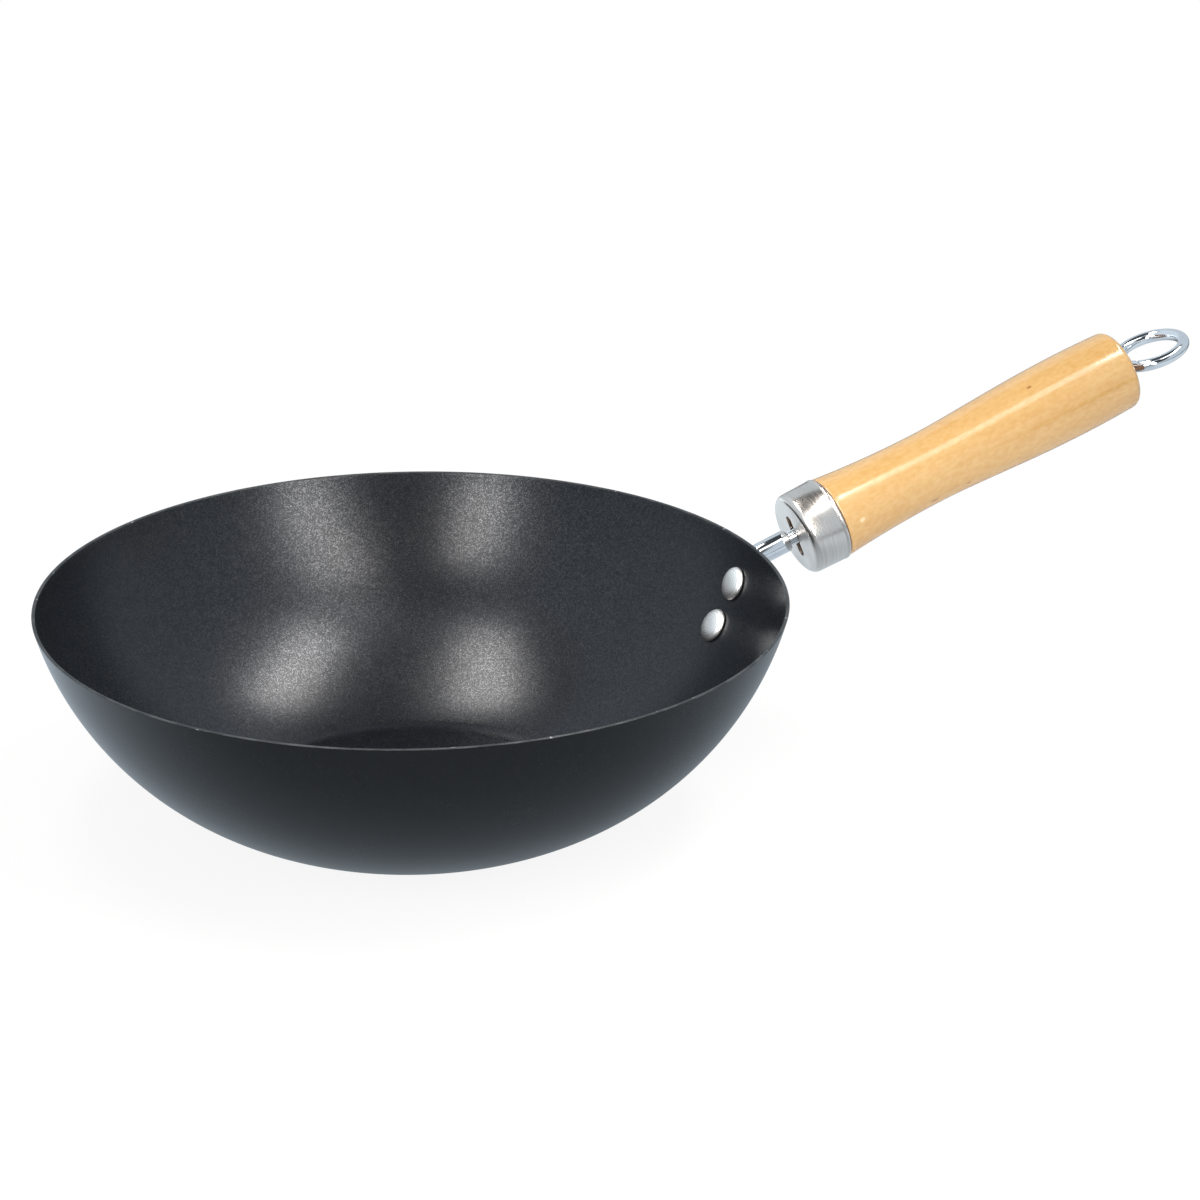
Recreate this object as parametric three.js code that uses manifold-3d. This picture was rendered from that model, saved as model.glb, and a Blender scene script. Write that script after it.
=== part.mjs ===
// Nonstick wok: pressed steel bowl with a riveted rod shank, a ferrule, a turned
// wooden grip and an eye bolt that runs through the grip into the shank.
// Millimetres, +Z up, origin at the middle of the base's underside, +X along the handle.

import * as THREE from "three";
import { mergeVertices } from "three/addons/utils/BufferGeometryUtils.js";
import ManifoldModule from "manifold-3d";

// Bowl
const RIM_RADIUS = 135;
const BOWL_HEIGHT = 78.5;
const RIM_SLOPE_DEG = 75;
const BASE_FLAT_RADIUS = 59.8;
const KNUCKLE_RADIUS = 20;
const SHEET_THICKNESS = 1.2;

// Handle line: a straight axis in the XZ plane, measured from the rim's radius
const HANDLE_DROP = 7.5;
const HANDLE_RISE_DEG = 18.4;

// Shank
const ROD_DIAMETER = 8.4;
const ROD_END = 17.2;
const ROD_END_CHAMFER = 0.7;
const PADDLE_WIDTH = 18;
const PADDLE_THICKNESS = 3;
const PADDLE_EDGE_RADIUS = 1.2;
const PADDLE_END_MARGIN = 9;
const NECK_BEND_RADIUS = 10;
const TAPPED_DEPTH = 11.5;

// Rivets; their line is turned a little about the bowl's axis against the handle
const RIVET_AZIMUTH_DEG = -0.92;
const UPPER_RIVET_DROP = 15.1;
const LOWER_RIVET_DROP = 30.5;
const RIVET_STEM_DIAMETER = 4.8;
const RIVET_HEAD_DIAMETER = 12.6;
const RIVET_HEAD_HEIGHT = 2.6;
const RIVET_HEAD_EDGE = 0.45;
const RIVET_TAIL_DIAMETER = 9.6;
const RIVET_TAIL_HEIGHT = 2.2;
const RIVET_TAIL_ROUND = 1.5;

// Ferrule
const FERRULE_FRONT = 20.7;
const FERRULE_LENGTH = 14.65;
const FERRULE_FRONT_DIAMETER = 31.7;
const FERRULE_REAR_DIAMETER = 32.2;
const FERRULE_SHEET = 0.8;
const FERRULE_EDGE_RADIUS = 2.6;
const FERRULE_LIP_HEIGHT = 0.14;
const FERRULE_LIP_LENGTH = 1;
const FERRULE_LIP_SLOPE = 0.3;
const FERRULE_HOLE_DIAMETER = 6.8;
const SLOT_LENGTH = 16.4;
const SLOT_WIDTH = 4;
const SLOT_ROLL_DEG = -12;

// Grip
const GRIP_FRONT_DIAMETER = 31.5;
const GRIP_WAIST_DIAMETER = 27.4;
const GRIP_WAIST_AT = 79;
const GRIP_SWELL_DIAMETER = 32.1;
const GRIP_SWELL_AT = 145;
const GRIP_END_DIAMETER = 31.2;
const GRIP_END_AT = 167.2;
const GRIP_END_ROUND = 2.6;
const GRIP_FRONT_ROUND = 0.8;
const GRIP_SWELL_BIAS = 0.85;

// Eye bolt
const WIRE_DIAMETER = 4.5;
const THREAD_DIAMETER = 5.6;
const THREAD_LENGTH = 30;
const THREAD_END_CHAMFER = 0.6;
const EYE_RING_RADIUS = 12.9;
const EYE_SIDE_OFFSET = 1.3;
const EYE_ROLL_DEG = -4;

// Clearances
const SEAT_GAP = 0.3;
const HEAD_SEAT_GAP = 0.55;
const HOLE_CLEARANCE = 0.3;
const BORE_CLEARANCE = 0.35;
const BOLT_TIP_GAP = 1;
const CUT_OVERRUN = 1;

// Facets
const BOWL_SEGMENTS = 80;
const WALL_STEPS = 9;
const KNUCKLE_STEPS = 3;
const GRIP_SEGMENTS = 36;
const FERRULE_SEGMENTS = 40;
const RIVET_SEGMENTS = 20;
const WIRE_SEGMENTS = 14;
const RING_STEPS = 36;
const QUADRANT_POINTS = 6;

const wasm = await ManifoldModule();
wasm.setup();
const { Manifold, Mesh: ManifoldMesh } = wasm;

const radians = THREE.MathUtils.degToRad;
const smooth = (t) => THREE.MathUtils.smoothstep(t, 0, 1);

/** Turns a closed geometry into a solid that can be cut and joined. */
function solidOf(geometry) {
  const bare = geometry.clone();
  bare.deleteAttribute("normal");
  bare.deleteAttribute("uv");
  const merged = mergeVertices(bare, 1e-4);
  const mesh = new ManifoldMesh({
    numProp: 3,
    vertProperties: new Float32Array(merged.attributes.position.array),
    triVerts: new Uint32Array(merged.index.array),
  });
  mesh.merge();
  return new Manifold(mesh);
}

/** Turns a solid back into a geometry. */
function geometryOf(solid) {
  const mesh = solid.getMesh();
  const geometry = new THREE.BufferGeometry();
  geometry.setAttribute("position", new THREE.BufferAttribute(new Float32Array(mesh.vertProperties), 3));
  geometry.setIndex(new THREE.BufferAttribute(new Uint32Array(mesh.triVerts), 1));
  geometry.computeVertexNormals();
  return geometry;
}

/** Turns a profile of [radius, height] pairs about +Z. */
function turned(profile, segments) {
  const points = profile.map(([radius, height]) => new THREE.Vector2(radius, height));
  const geometry = new THREE.LatheGeometry(points, segments);
  geometry.rotateX(Math.PI / 2);
  return geometry;
}

/** Points of an arc about a centre, where angle 0 points down and grows outwards. */
function arcPoints(centre, radius, fromAngle, toAngle, steps) {
  const points = [];
  for (let i = 0; i <= steps; i += 1) {
    const angle = fromAngle + ((toAngle - fromAngle) * i) / steps;
    points.push([centre[0] + radius * Math.sin(angle), centre[1] - radius * Math.cos(angle)]);
  }
  return points;
}

// The wall is the one arc that leaves the rim at its slope and runs into the knuckle
const rimSlope = radians(RIM_SLOPE_DEG);
const knuckleCentre = [BASE_FLAT_RADIUS, KNUCKLE_RADIUS];
const wallRun = RIM_RADIUS - knuckleCentre[0];
const wallRise = BOWL_HEIGHT - knuckleCentre[1];
const chordSquared = wallRun * wallRun + wallRise * wallRise;
const tangentReach = wallRun * Math.sin(rimSlope) - wallRise * Math.cos(rimSlope);
const wallArcRadius = (chordSquared - KNUCKLE_RADIUS ** 2) / (2 * (tangentReach - KNUCKLE_RADIUS));
const wallCentre = [
  RIM_RADIUS - wallArcRadius * Math.sin(rimSlope),
  BOWL_HEIGHT + wallArcRadius * Math.cos(rimSlope),
];
const knuckleAngle = Math.atan2(knuckleCentre[0] - wallCentre[0], wallCentre[1] - knuckleCentre[1]);

// The handle's axis
const handleRise = radians(HANDLE_RISE_DEG);
const axisStart = new THREE.Vector3(RIM_RADIUS, 0, BOWL_HEIGHT - HANDLE_DROP);
const axisDirection = new THREE.Vector3(Math.cos(handleRise), 0, Math.sin(handleRise));
const axisNormal = new THREE.Vector3(-Math.sin(handleRise), 0, Math.cos(handleRise));

/** Moves a geometry made along +Z onto the handle's axis; its -X side becomes the upper side. */
function ontoHandle(geometry) {
  geometry.rotateY(Math.PI / 2 - handleRise);
  geometry.translate(axisStart.x, axisStart.y, axisStart.z);
  return geometry;
}

/** The wall's angle at a drop below the rim, on the sheet's inner face. */
function wallAngleAtDrop(drop) {
  const innerRadius = wallArcRadius - SHEET_THICKNESS;
  return Math.acos((wallCentre[1] - BOWL_HEIGHT + drop) / innerRadius);
}

const rivetAzimuth = radians(RIVET_AZIMUTH_DEG);

/** Moves a geometry made along +Z to a rivet's place; +Z then points into the bowl. */
function ontoRivet(geometry, drop) {
  const angle = wallAngleAtDrop(drop);
  const innerRadius = wallArcRadius - SHEET_THICKNESS;
  geometry.rotateY(-angle);
  geometry.translate(
    wallCentre[0] + innerRadius * Math.sin(angle),
    0,
    wallCentre[1] - innerRadius * Math.cos(angle),
  );
  geometry.rotateZ(rivetAzimuth);
  return geometry;
}

/** A round hole cutter across the wall and the paddle at a rivet's place. */
function rivetHole(drop) {
  const radius = RIVET_STEM_DIAMETER / 2 + HOLE_CLEARANCE;
  const reach = 2 * (SHEET_THICKNESS + SEAT_GAP + PADDLE_THICKNESS + CUT_OVERRUN);
  const cutter = new THREE.CylinderGeometry(radius, radius, reach, RIVET_SEGMENTS);
  cutter.rotateX(Math.PI / 2);
  return solidOf(ontoRivet(cutter, drop));
}

/** The pressed bowl with its two rivet holes. */
function bowlGeometry() {
  const outer = [
    [0, 0],
    ...arcPoints(knuckleCentre, KNUCKLE_RADIUS, 0, knuckleAngle, KNUCKLE_STEPS).slice(0, -1),
    ...arcPoints(wallCentre, wallArcRadius, knuckleAngle, rimSlope, WALL_STEPS),
  ];
  const innerArc = wallArcRadius - SHEET_THICKNESS;
  const innerRimAngle = Math.acos((wallCentre[1] - BOWL_HEIGHT) / innerArc);
  const innerKnuckle = KNUCKLE_RADIUS - SHEET_THICKNESS;
  const inner = [
    [0, SHEET_THICKNESS],
    ...arcPoints(knuckleCentre, innerKnuckle, 0, knuckleAngle, KNUCKLE_STEPS).slice(0, -1),
    ...arcPoints(wallCentre, innerArc, knuckleAngle, innerRimAngle, WALL_STEPS),
  ];
  const shell = solidOf(turned([...outer, ...inner.reverse()], BOWL_SEGMENTS));
  const cut = shell.subtract(rivetHole(UPPER_RIVET_DROP)).subtract(rivetHole(LOWER_RIVET_DROP));
  return geometryOf(cut);
}

/** One cross-section of the shank: a rectangle with rounded corners, as local [width, height] pairs. */
function shankSection(halfWidth, halfHeight, cornerRadius) {
  const corner = Math.min(cornerRadius, halfWidth, halfHeight);
  const signs = [[1, 1], [-1, 1], [-1, -1], [1, -1]];
  const points = [];
  signs.forEach(([signW, signH], quadrant) => {
    for (let i = 0; i < QUADRANT_POINTS; i += 1) {
      const angle = ((quadrant + (i + 0.5) / QUADRANT_POINTS) * Math.PI) / 2;
      points.push([
        signW * (halfWidth - corner) + corner * Math.cos(angle),
        signH * (halfHeight - corner) + corner * Math.sin(angle),
      ]);
    }
  });
  return points;
}

/** Skins a row of equal-length rings of points into one closed geometry. */
function lofted(rings) {
  const positions = [];
  const index = [];
  const count = rings[0].length;
  rings.forEach((ring) => ring.forEach((point) => positions.push(point.x, point.y, point.z)));
  for (let k = 0; k + 1 < rings.length; k += 1) {
    for (let i = 0; i < count; i += 1) {
      const next = (i + 1) % count;
      const a = k * count + i;
      const b = k * count + next;
      const c = (k + 1) * count + next;
      const d = (k + 1) * count + i;
      index.push(a, b, c, a, c, d);
    }
  }
  const addCap = (ring, offset, flip) => {
    const middle = ring.reduce((sum, point) => sum.add(point), new THREE.Vector3());
    middle.divideScalar(count);
    const centre = positions.length / 3;
    positions.push(middle.x, middle.y, middle.z);
    for (let i = 0; i < count; i += 1) {
      const next = (i + 1) % count;
      if (flip) {
        index.push(centre, offset + next, offset + i);
      } else {
        index.push(centre, offset + i, offset + next);
      }
    }
  };
  addCap(rings[0], 0, true);
  addCap(rings[rings.length - 1], (rings.length - 1) * count, false);
  const geometry = new THREE.BufferGeometry();
  geometry.setAttribute("position", new THREE.Float32BufferAttribute(positions, 3));
  geometry.setIndex(index);
  return geometry;
}

/** The neck's bend, tangent to the paddle's arc below and to the handle's axis behind. */
function neckBend() {
  const paddleRadius = wallArcRadius + SEAT_GAP + PADDLE_THICKNESS / 2;
  const fromX = axisStart.x - axisNormal.x * NECK_BEND_RADIUS - wallCentre[0];
  const fromZ = axisStart.z - axisNormal.z * NECK_BEND_RADIUS - wallCentre[1];
  const along = fromX * axisDirection.x + fromZ * axisDirection.z;
  const reach = paddleRadius + NECK_BEND_RADIUS;
  const rest = fromX * fromX + fromZ * fromZ - reach * reach;
  const end = -along + Math.sqrt(along * along - rest);
  const centreX = fromX + axisDirection.x * end;
  const centreZ = fromZ + axisDirection.z * end;
  return {
    paddleRadius,
    end,
    startAngle: Math.atan2(centreX, -centreZ),
    centre: [wallCentre[0] + centreX, wallCentre[1] + centreZ],
  };
}

/** The shank: a rod flattened to a curved paddle, bent at the neck and tapped at its rear end. */
function shankGeometry() {
  const bend = neckBend();
  const rodRadius = ROD_DIAMETER / 2;
  const halfPaddle = PADDLE_THICKNESS / 2;
  const lowerAngle = wallAngleAtDrop(LOWER_RIVET_DROP);
  const tipAngle = lowerAngle - PADDLE_END_MARGIN / bend.paddleRadius;
  const bowlAxis = new THREE.Vector3(0, 0, 1);
  const rings = [];

  const addRing = (x, z, slope, halfWidth, halfHeight, corner, azimuth) => {
    const ring = shankSection(halfWidth, halfHeight, corner).map(([width, height]) => new THREE.Vector3(
      x - height * Math.sin(slope),
      width,
      z + height * Math.cos(slope),
    ).applyAxisAngle(bowlAxis, azimuth));
    rings.push(ring);
  };

  const halfWidthFull = PADDLE_WIDTH / 2;
  const tipSteps = 6;
  const paddleSteps = 5;
  const bendSteps = 8;
  const bodyAngle = tipAngle + halfWidthFull / bend.paddleRadius;
  for (let i = 0; i < tipSteps; i += 1) {
    const turn = ((i + 0.5) / tipSteps) * (Math.PI / 2);
    const angle = tipAngle + (1 - Math.cos(turn)) * (halfWidthFull / bend.paddleRadius);
    const halfWidth = halfWidthFull * Math.sin(turn);
    const x = wallCentre[0] + bend.paddleRadius * Math.sin(angle);
    const z = wallCentre[1] - bend.paddleRadius * Math.cos(angle);
    addRing(x, z, angle, halfWidth, halfPaddle, PADDLE_EDGE_RADIUS, rivetAzimuth);
  }
  for (let i = 0; i <= paddleSteps; i += 1) {
    const angle = bodyAngle + ((bend.startAngle - bodyAngle) * i) / paddleSteps;
    const x = wallCentre[0] + bend.paddleRadius * Math.sin(angle);
    const z = wallCentre[1] - bend.paddleRadius * Math.cos(angle);
    addRing(x, z, angle, halfWidthFull, halfPaddle, PADDLE_EDGE_RADIUS, rivetAzimuth);
  }
  for (let i = 1; i <= bendSteps; i += 1) {
    const part = i / bendSteps;
    const slope = bend.startAngle + (handleRise - bend.startAngle) * part;
    const x = bend.centre[0] - NECK_BEND_RADIUS * Math.sin(slope);
    const z = bend.centre[1] + NECK_BEND_RADIUS * Math.cos(slope);
    const halfWidth = THREE.MathUtils.lerp(halfWidthFull, rodRadius, smooth(part));
    const halfHeight = THREE.MathUtils.lerp(halfPaddle, rodRadius, part * part);
    const corner = THREE.MathUtils.lerp(PADDLE_EDGE_RADIUS, rodRadius, part);
    addRing(x, z, slope, halfWidth, halfHeight, corner, rivetAzimuth * (1 - smooth(part)));
  }
  const rodStations = [
    [ROD_END - ROD_END_CHAMFER, rodRadius],
    [ROD_END, rodRadius - ROD_END_CHAMFER],
  ];
  rodStations.forEach(([along, radius]) => {
    const x = axisStart.x + axisDirection.x * along;
    const z = axisStart.z + axisDirection.z * along;
    addRing(x, z, handleRise, radius, radius, radius, 0);
  });

  const tapRadius = THREAD_DIAMETER / 2 + HOLE_CLEARANCE;
  const tap = new THREE.CylinderGeometry(tapRadius, tapRadius, TAPPED_DEPTH + CUT_OVERRUN, WIRE_SEGMENTS);
  tap.rotateX(Math.PI / 2);
  tap.translate(0, 0, ROD_END + (CUT_OVERRUN - TAPPED_DEPTH) / 2);
  const body = solidOf(lofted(rings));
  const cut = body
    .subtract(solidOf(ontoHandle(tap)))
    .subtract(rivetHole(UPPER_RIVET_DROP))
    .subtract(rivetHole(LOWER_RIVET_DROP));
  return geometryOf(cut);
}

/** A rivet: domed head inside the bowl, stem through wall and paddle, upset tail outside. */
function rivetGeometry(drop) {
  const headRadius = RIVET_HEAD_DIAMETER / 2;
  const stemRadius = RIVET_STEM_DIAMETER / 2;
  const tailRadius = RIVET_TAIL_DIAMETER / 2;
  const headSeat = HEAD_SEAT_GAP;
  const tailSeat = -(SHEET_THICKNESS + SEAT_GAP + PADDLE_THICKNESS + SEAT_GAP);
  const tailEnd = tailSeat - RIVET_TAIL_HEIGHT;
  const tailCorner = [tailRadius - RIVET_TAIL_ROUND, tailEnd + RIVET_TAIL_ROUND];
  const profile = [
    [0, tailEnd],
    ...arcPoints(tailCorner, RIVET_TAIL_ROUND, 0, Math.PI / 2, 3),
    [tailRadius, tailSeat],
    [stemRadius, tailSeat],
    [stemRadius, headSeat],
    [headRadius, headSeat],
    [headRadius, headSeat + RIVET_HEAD_EDGE],
  ];
  const domeSteps = 5;
  const domeHeight = RIVET_HEAD_HEIGHT - RIVET_HEAD_EDGE;
  for (let i = 1; i < domeSteps; i += 1) {
    const angle = (i / domeSteps) * (Math.PI / 2);
    const lift = RIVET_HEAD_EDGE + domeHeight * Math.sin(angle);
    profile.push([headRadius * Math.cos(angle), headSeat + lift]);
  }
  profile.push([0, headSeat + RIVET_HEAD_HEIGHT]);
  return ontoRivet(turned(profile, RIVET_SEGMENTS), drop);
}

/** The ferrule: a drawn cup with a rounded front edge, a rear lip and a hole with a slot across it in its face. */
function ferruleGeometry() {
  const rear = FERRULE_FRONT + FERRULE_LENGTH;
  const frontRadius = FERRULE_FRONT_DIAMETER / 2;
  const rearRadius = FERRULE_REAR_DIAMETER / 2;
  const lipRadius = rearRadius + FERRULE_LIP_HEIGHT;
  const innerEdge = FERRULE_EDGE_RADIUS - FERRULE_SHEET;
  const cornerSteps = 4;
  const centre = [frontRadius - FERRULE_EDGE_RADIUS, FERRULE_FRONT + FERRULE_EDGE_RADIUS];
  const profile = [
    [0, FERRULE_FRONT],
    ...arcPoints(centre, FERRULE_EDGE_RADIUS, 0, Math.PI / 2, cornerSteps),
    [rearRadius, rear - FERRULE_LIP_LENGTH],
    [lipRadius, rear - FERRULE_LIP_LENGTH + FERRULE_LIP_SLOPE],
    [lipRadius, rear - FERRULE_LIP_SLOPE],
    [rearRadius, rear],
    [rearRadius - FERRULE_SHEET, rear],
    ...arcPoints(centre, innerEdge, Math.PI / 2, 0, cornerSteps),
    [0, FERRULE_FRONT + FERRULE_SHEET],
  ];
  const cup = solidOf(ontoHandle(turned(profile, FERRULE_SEGMENTS)));

  const slotRadius = SLOT_WIDTH / 2;
  const straight = SLOT_LENGTH / 2 - slotRadius;
  const outline = new THREE.Shape();
  outline.absarc(straight, 0, slotRadius, -Math.PI / 2, Math.PI / 2, false);
  outline.absarc(-straight, 0, slotRadius, Math.PI / 2, (Math.PI * 3) / 2, false);
  outline.closePath();
  const slot = new THREE.ExtrudeGeometry(outline, {
    depth: FERRULE_SHEET + 2 * CUT_OVERRUN,
    bevelEnabled: false,
    curveSegments: 8,
  });
  slot.translate(0, 0, FERRULE_FRONT - CUT_OVERRUN);
  slot.rotateZ(radians(SLOT_ROLL_DEG));
  const holeRadius = FERRULE_HOLE_DIAMETER / 2;
  const hole = new THREE.CylinderGeometry(holeRadius, holeRadius, FERRULE_SHEET + 2 * CUT_OVERRUN, WIRE_SEGMENTS);
  hole.rotateX(Math.PI / 2);
  hole.translate(0, 0, FERRULE_FRONT + FERRULE_SHEET / 2);
  return geometryOf(cup.subtract(solidOf(ontoHandle(slot))).subtract(solidOf(ontoHandle(hole))));
}

/** The grip's outside as [radius, along] pairs, from the shoulder behind the ferrule to the rear edge. */
function gripOutline() {
  const front = FERRULE_FRONT + FERRULE_LENGTH + SEAT_GAP;
  const half = (diameter) => diameter / 2;
  const waist = half(GRIP_WAIST_DIAMETER);
  const swell = half(GRIP_SWELL_DIAMETER);
  const first = half(GRIP_FRONT_DIAMETER);
  const last = half(GRIP_END_DIAMETER);
  const start = front + GRIP_FRONT_ROUND;
  const end = GRIP_END_AT - GRIP_END_ROUND;
  const points = arcPoints([first - GRIP_FRONT_ROUND, start], GRIP_FRONT_ROUND, 0, Math.PI / 2, 2).slice(0, -1);
  const hollowSteps = 7;
  for (let i = 0; i < hollowSteps; i += 1) {
    const part = i / hollowSteps;
    const fall = Math.pow(1 - part, 2);
    points.push([waist + (first - waist) * fall, start + (GRIP_WAIST_AT - start) * part]);
  }
  const swellSteps = 9;
  for (let i = 0; i < swellSteps; i += 1) {
    const part = i / swellSteps;
    const rise = (1 - Math.cos(Math.PI * Math.pow(part, GRIP_SWELL_BIAS))) / 2;
    points.push([waist + (swell - waist) * rise, GRIP_WAIST_AT + (GRIP_SWELL_AT - GRIP_WAIST_AT) * part]);
  }
  const tailSteps = 3;
  for (let i = 0; i <= tailSteps; i += 1) {
    const part = i / tailSteps;
    points.push([swell + (last - swell) * part * part, GRIP_SWELL_AT + (end - GRIP_SWELL_AT) * part]);
  }
  const rearEdge = arcPoints([last - GRIP_END_ROUND, end], GRIP_END_ROUND, Math.PI / 2, Math.PI, 4);
  return [...points, ...rearEdge.slice(1)];
}

/** The turned grip: spigot in the ferrule, waist, swell, rounded rear edge and a bore from end to end. */
function gripGeometry() {
  const boreRadius = THREAD_DIAMETER / 2 + BORE_CLEARANCE;
  const spigotRadius = FERRULE_FRONT_DIAMETER / 2 - FERRULE_SHEET - SEAT_GAP;
  const spigotFront = FERRULE_FRONT + FERRULE_SHEET + SEAT_GAP;
  const edge = FERRULE_EDGE_RADIUS;
  const shoulder = FERRULE_FRONT + FERRULE_LENGTH + SEAT_GAP;
  const profile = [
    [boreRadius, spigotFront],
    ...arcPoints([spigotRadius - edge, spigotFront + edge], edge, 0, Math.PI / 2, 3),
    [spigotRadius, shoulder],
    ...gripOutline(),
    [boreRadius, GRIP_END_AT],
    [boreRadius, spigotFront],
  ];
  return ontoHandle(turned(profile, GRIP_SEGMENTS));
}

/** The eye bolt: threaded front end, wire rod and a ring that just clears the grip's end. */
function eyeGeometry() {
  const threadRadius = THREAD_DIAMETER / 2;
  const wireRadius = WIRE_DIAMETER / 2;
  const tip = ROD_END - TAPPED_DEPTH + BOLT_TIP_GAP;
  const threadEnd = tip + THREAD_LENGTH;
  const ringCentre = GRIP_END_AT + SEAT_GAP + wireRadius + EYE_RING_RADIUS;
  const stemEnd = ringCentre - EYE_RING_RADIUS;
  const profile = [
    [0, tip],
    [threadRadius - THREAD_END_CHAMFER, tip],
    [threadRadius, tip + THREAD_END_CHAMFER],
    [threadRadius, threadEnd],
    [wireRadius, threadEnd + (threadRadius - wireRadius)],
    [wireRadius, stemEnd],
    [0, stemEnd],
  ];
  const stem = turned(profile, WIRE_SEGMENTS);
  const ring = new THREE.TorusGeometry(EYE_RING_RADIUS, wireRadius, WIRE_SEGMENTS, RING_STEPS);
  ring.rotateY(Math.PI / 2);
  ring.translate(0, EYE_SIDE_OFFSET, ringCentre);
  ring.rotateZ(radians(EYE_ROLL_DEG));
  return geometryOf(solidOf(ontoHandle(stem)).add(solidOf(ontoHandle(ring))));
}

/** A named mesh with a plain material. */
function piece(name, geometry, colour, roughness, metalness) {
  const material = new THREE.MeshStandardMaterial({ color: colour, roughness, metalness });
  const mesh = new THREE.Mesh(geometry, material);
  mesh.name = name;
  return mesh;
}

const wok = new THREE.Group();
wok.name = "nonstick_wok";
wok.add(piece("wok_bowl", bowlGeometry(), 0x24272a, 0.45, 0.2));
wok.add(piece("handle_shank", shankGeometry(), 0xd2d6da, 0.12, 1));
wok.add(piece("upper_rivet", rivetGeometry(UPPER_RIVET_DROP), 0xc8c9c8, 0.3, 1));
wok.add(piece("lower_rivet", rivetGeometry(LOWER_RIVET_DROP), 0xc8c9c8, 0.3, 1));
wok.add(piece("ferrule", ferruleGeometry(), 0xbfc2c4, 0.22, 1));
wok.add(piece("wood_grip", gripGeometry(), 0xe9b872, 0.35, 0));
wok.add(piece("hanging_eye", eyeGeometry(), 0xd2d6da, 0.1, 1));

export default wok;
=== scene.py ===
"""Looks of the nonstick wok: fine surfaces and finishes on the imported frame, a studio and a camera.

Sizes of pieces are in millimetres until a mesh or an object is placed, which is done in metres.
Frequencies of noise and cells are per metre.
"""

import logging
import math
from dataclasses import dataclass, field
from enum import Enum
from typing import Iterable, Sequence, Union

import bpy
from mathutils import Matrix, Quaternion, Vector


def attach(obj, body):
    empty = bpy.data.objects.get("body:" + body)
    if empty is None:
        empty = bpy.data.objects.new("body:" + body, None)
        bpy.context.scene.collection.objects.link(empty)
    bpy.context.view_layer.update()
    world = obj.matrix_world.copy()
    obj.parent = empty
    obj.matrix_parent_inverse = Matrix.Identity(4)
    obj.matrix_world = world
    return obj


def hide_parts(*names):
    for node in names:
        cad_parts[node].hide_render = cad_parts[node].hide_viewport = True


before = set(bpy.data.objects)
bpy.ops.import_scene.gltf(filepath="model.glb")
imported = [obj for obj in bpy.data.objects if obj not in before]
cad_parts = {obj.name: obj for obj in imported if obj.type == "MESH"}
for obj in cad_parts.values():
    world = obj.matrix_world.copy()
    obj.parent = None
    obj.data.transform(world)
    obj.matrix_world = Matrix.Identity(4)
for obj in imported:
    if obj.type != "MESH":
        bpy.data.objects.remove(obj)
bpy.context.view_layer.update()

LOG = logging.getLogger("wok")
MM = 0.001
SHARP_ANGLE = math.radians(38)
POLE_RADIUS = 1e-6
PLUG_SEGMENTS = 48

Triple = tuple[float, float, float]
Colour = Triple
Profile = list[tuple[float, float]]

EVEN: Triple = (1.0, 1.0, 1.0)
FLAT: Triple = (1.0, 1.0, 0.0)
MIRROR_TINT: Colour = (0.87, 1.0, 1.12)


class Body(Enum):
    """The CAD bodies that pieces ride on."""

    WOK = "wok"
    EYE = "eye_bolt"


class Slot(Enum):
    """The record's material slots."""

    COATING = "nonstick_coating"
    ROD = "plated_rod"
    RIVET = "rivet_metal"
    FERRULE = "ferrule_metal"
    WOOD = "varnished_wood"
    WIRE = "plated_wire"


class Cut(Enum):
    """Ways to combine two solids."""

    REMOVE = "DIFFERENCE"
    JOIN = "UNION"


# Shader values and node trees


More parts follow.
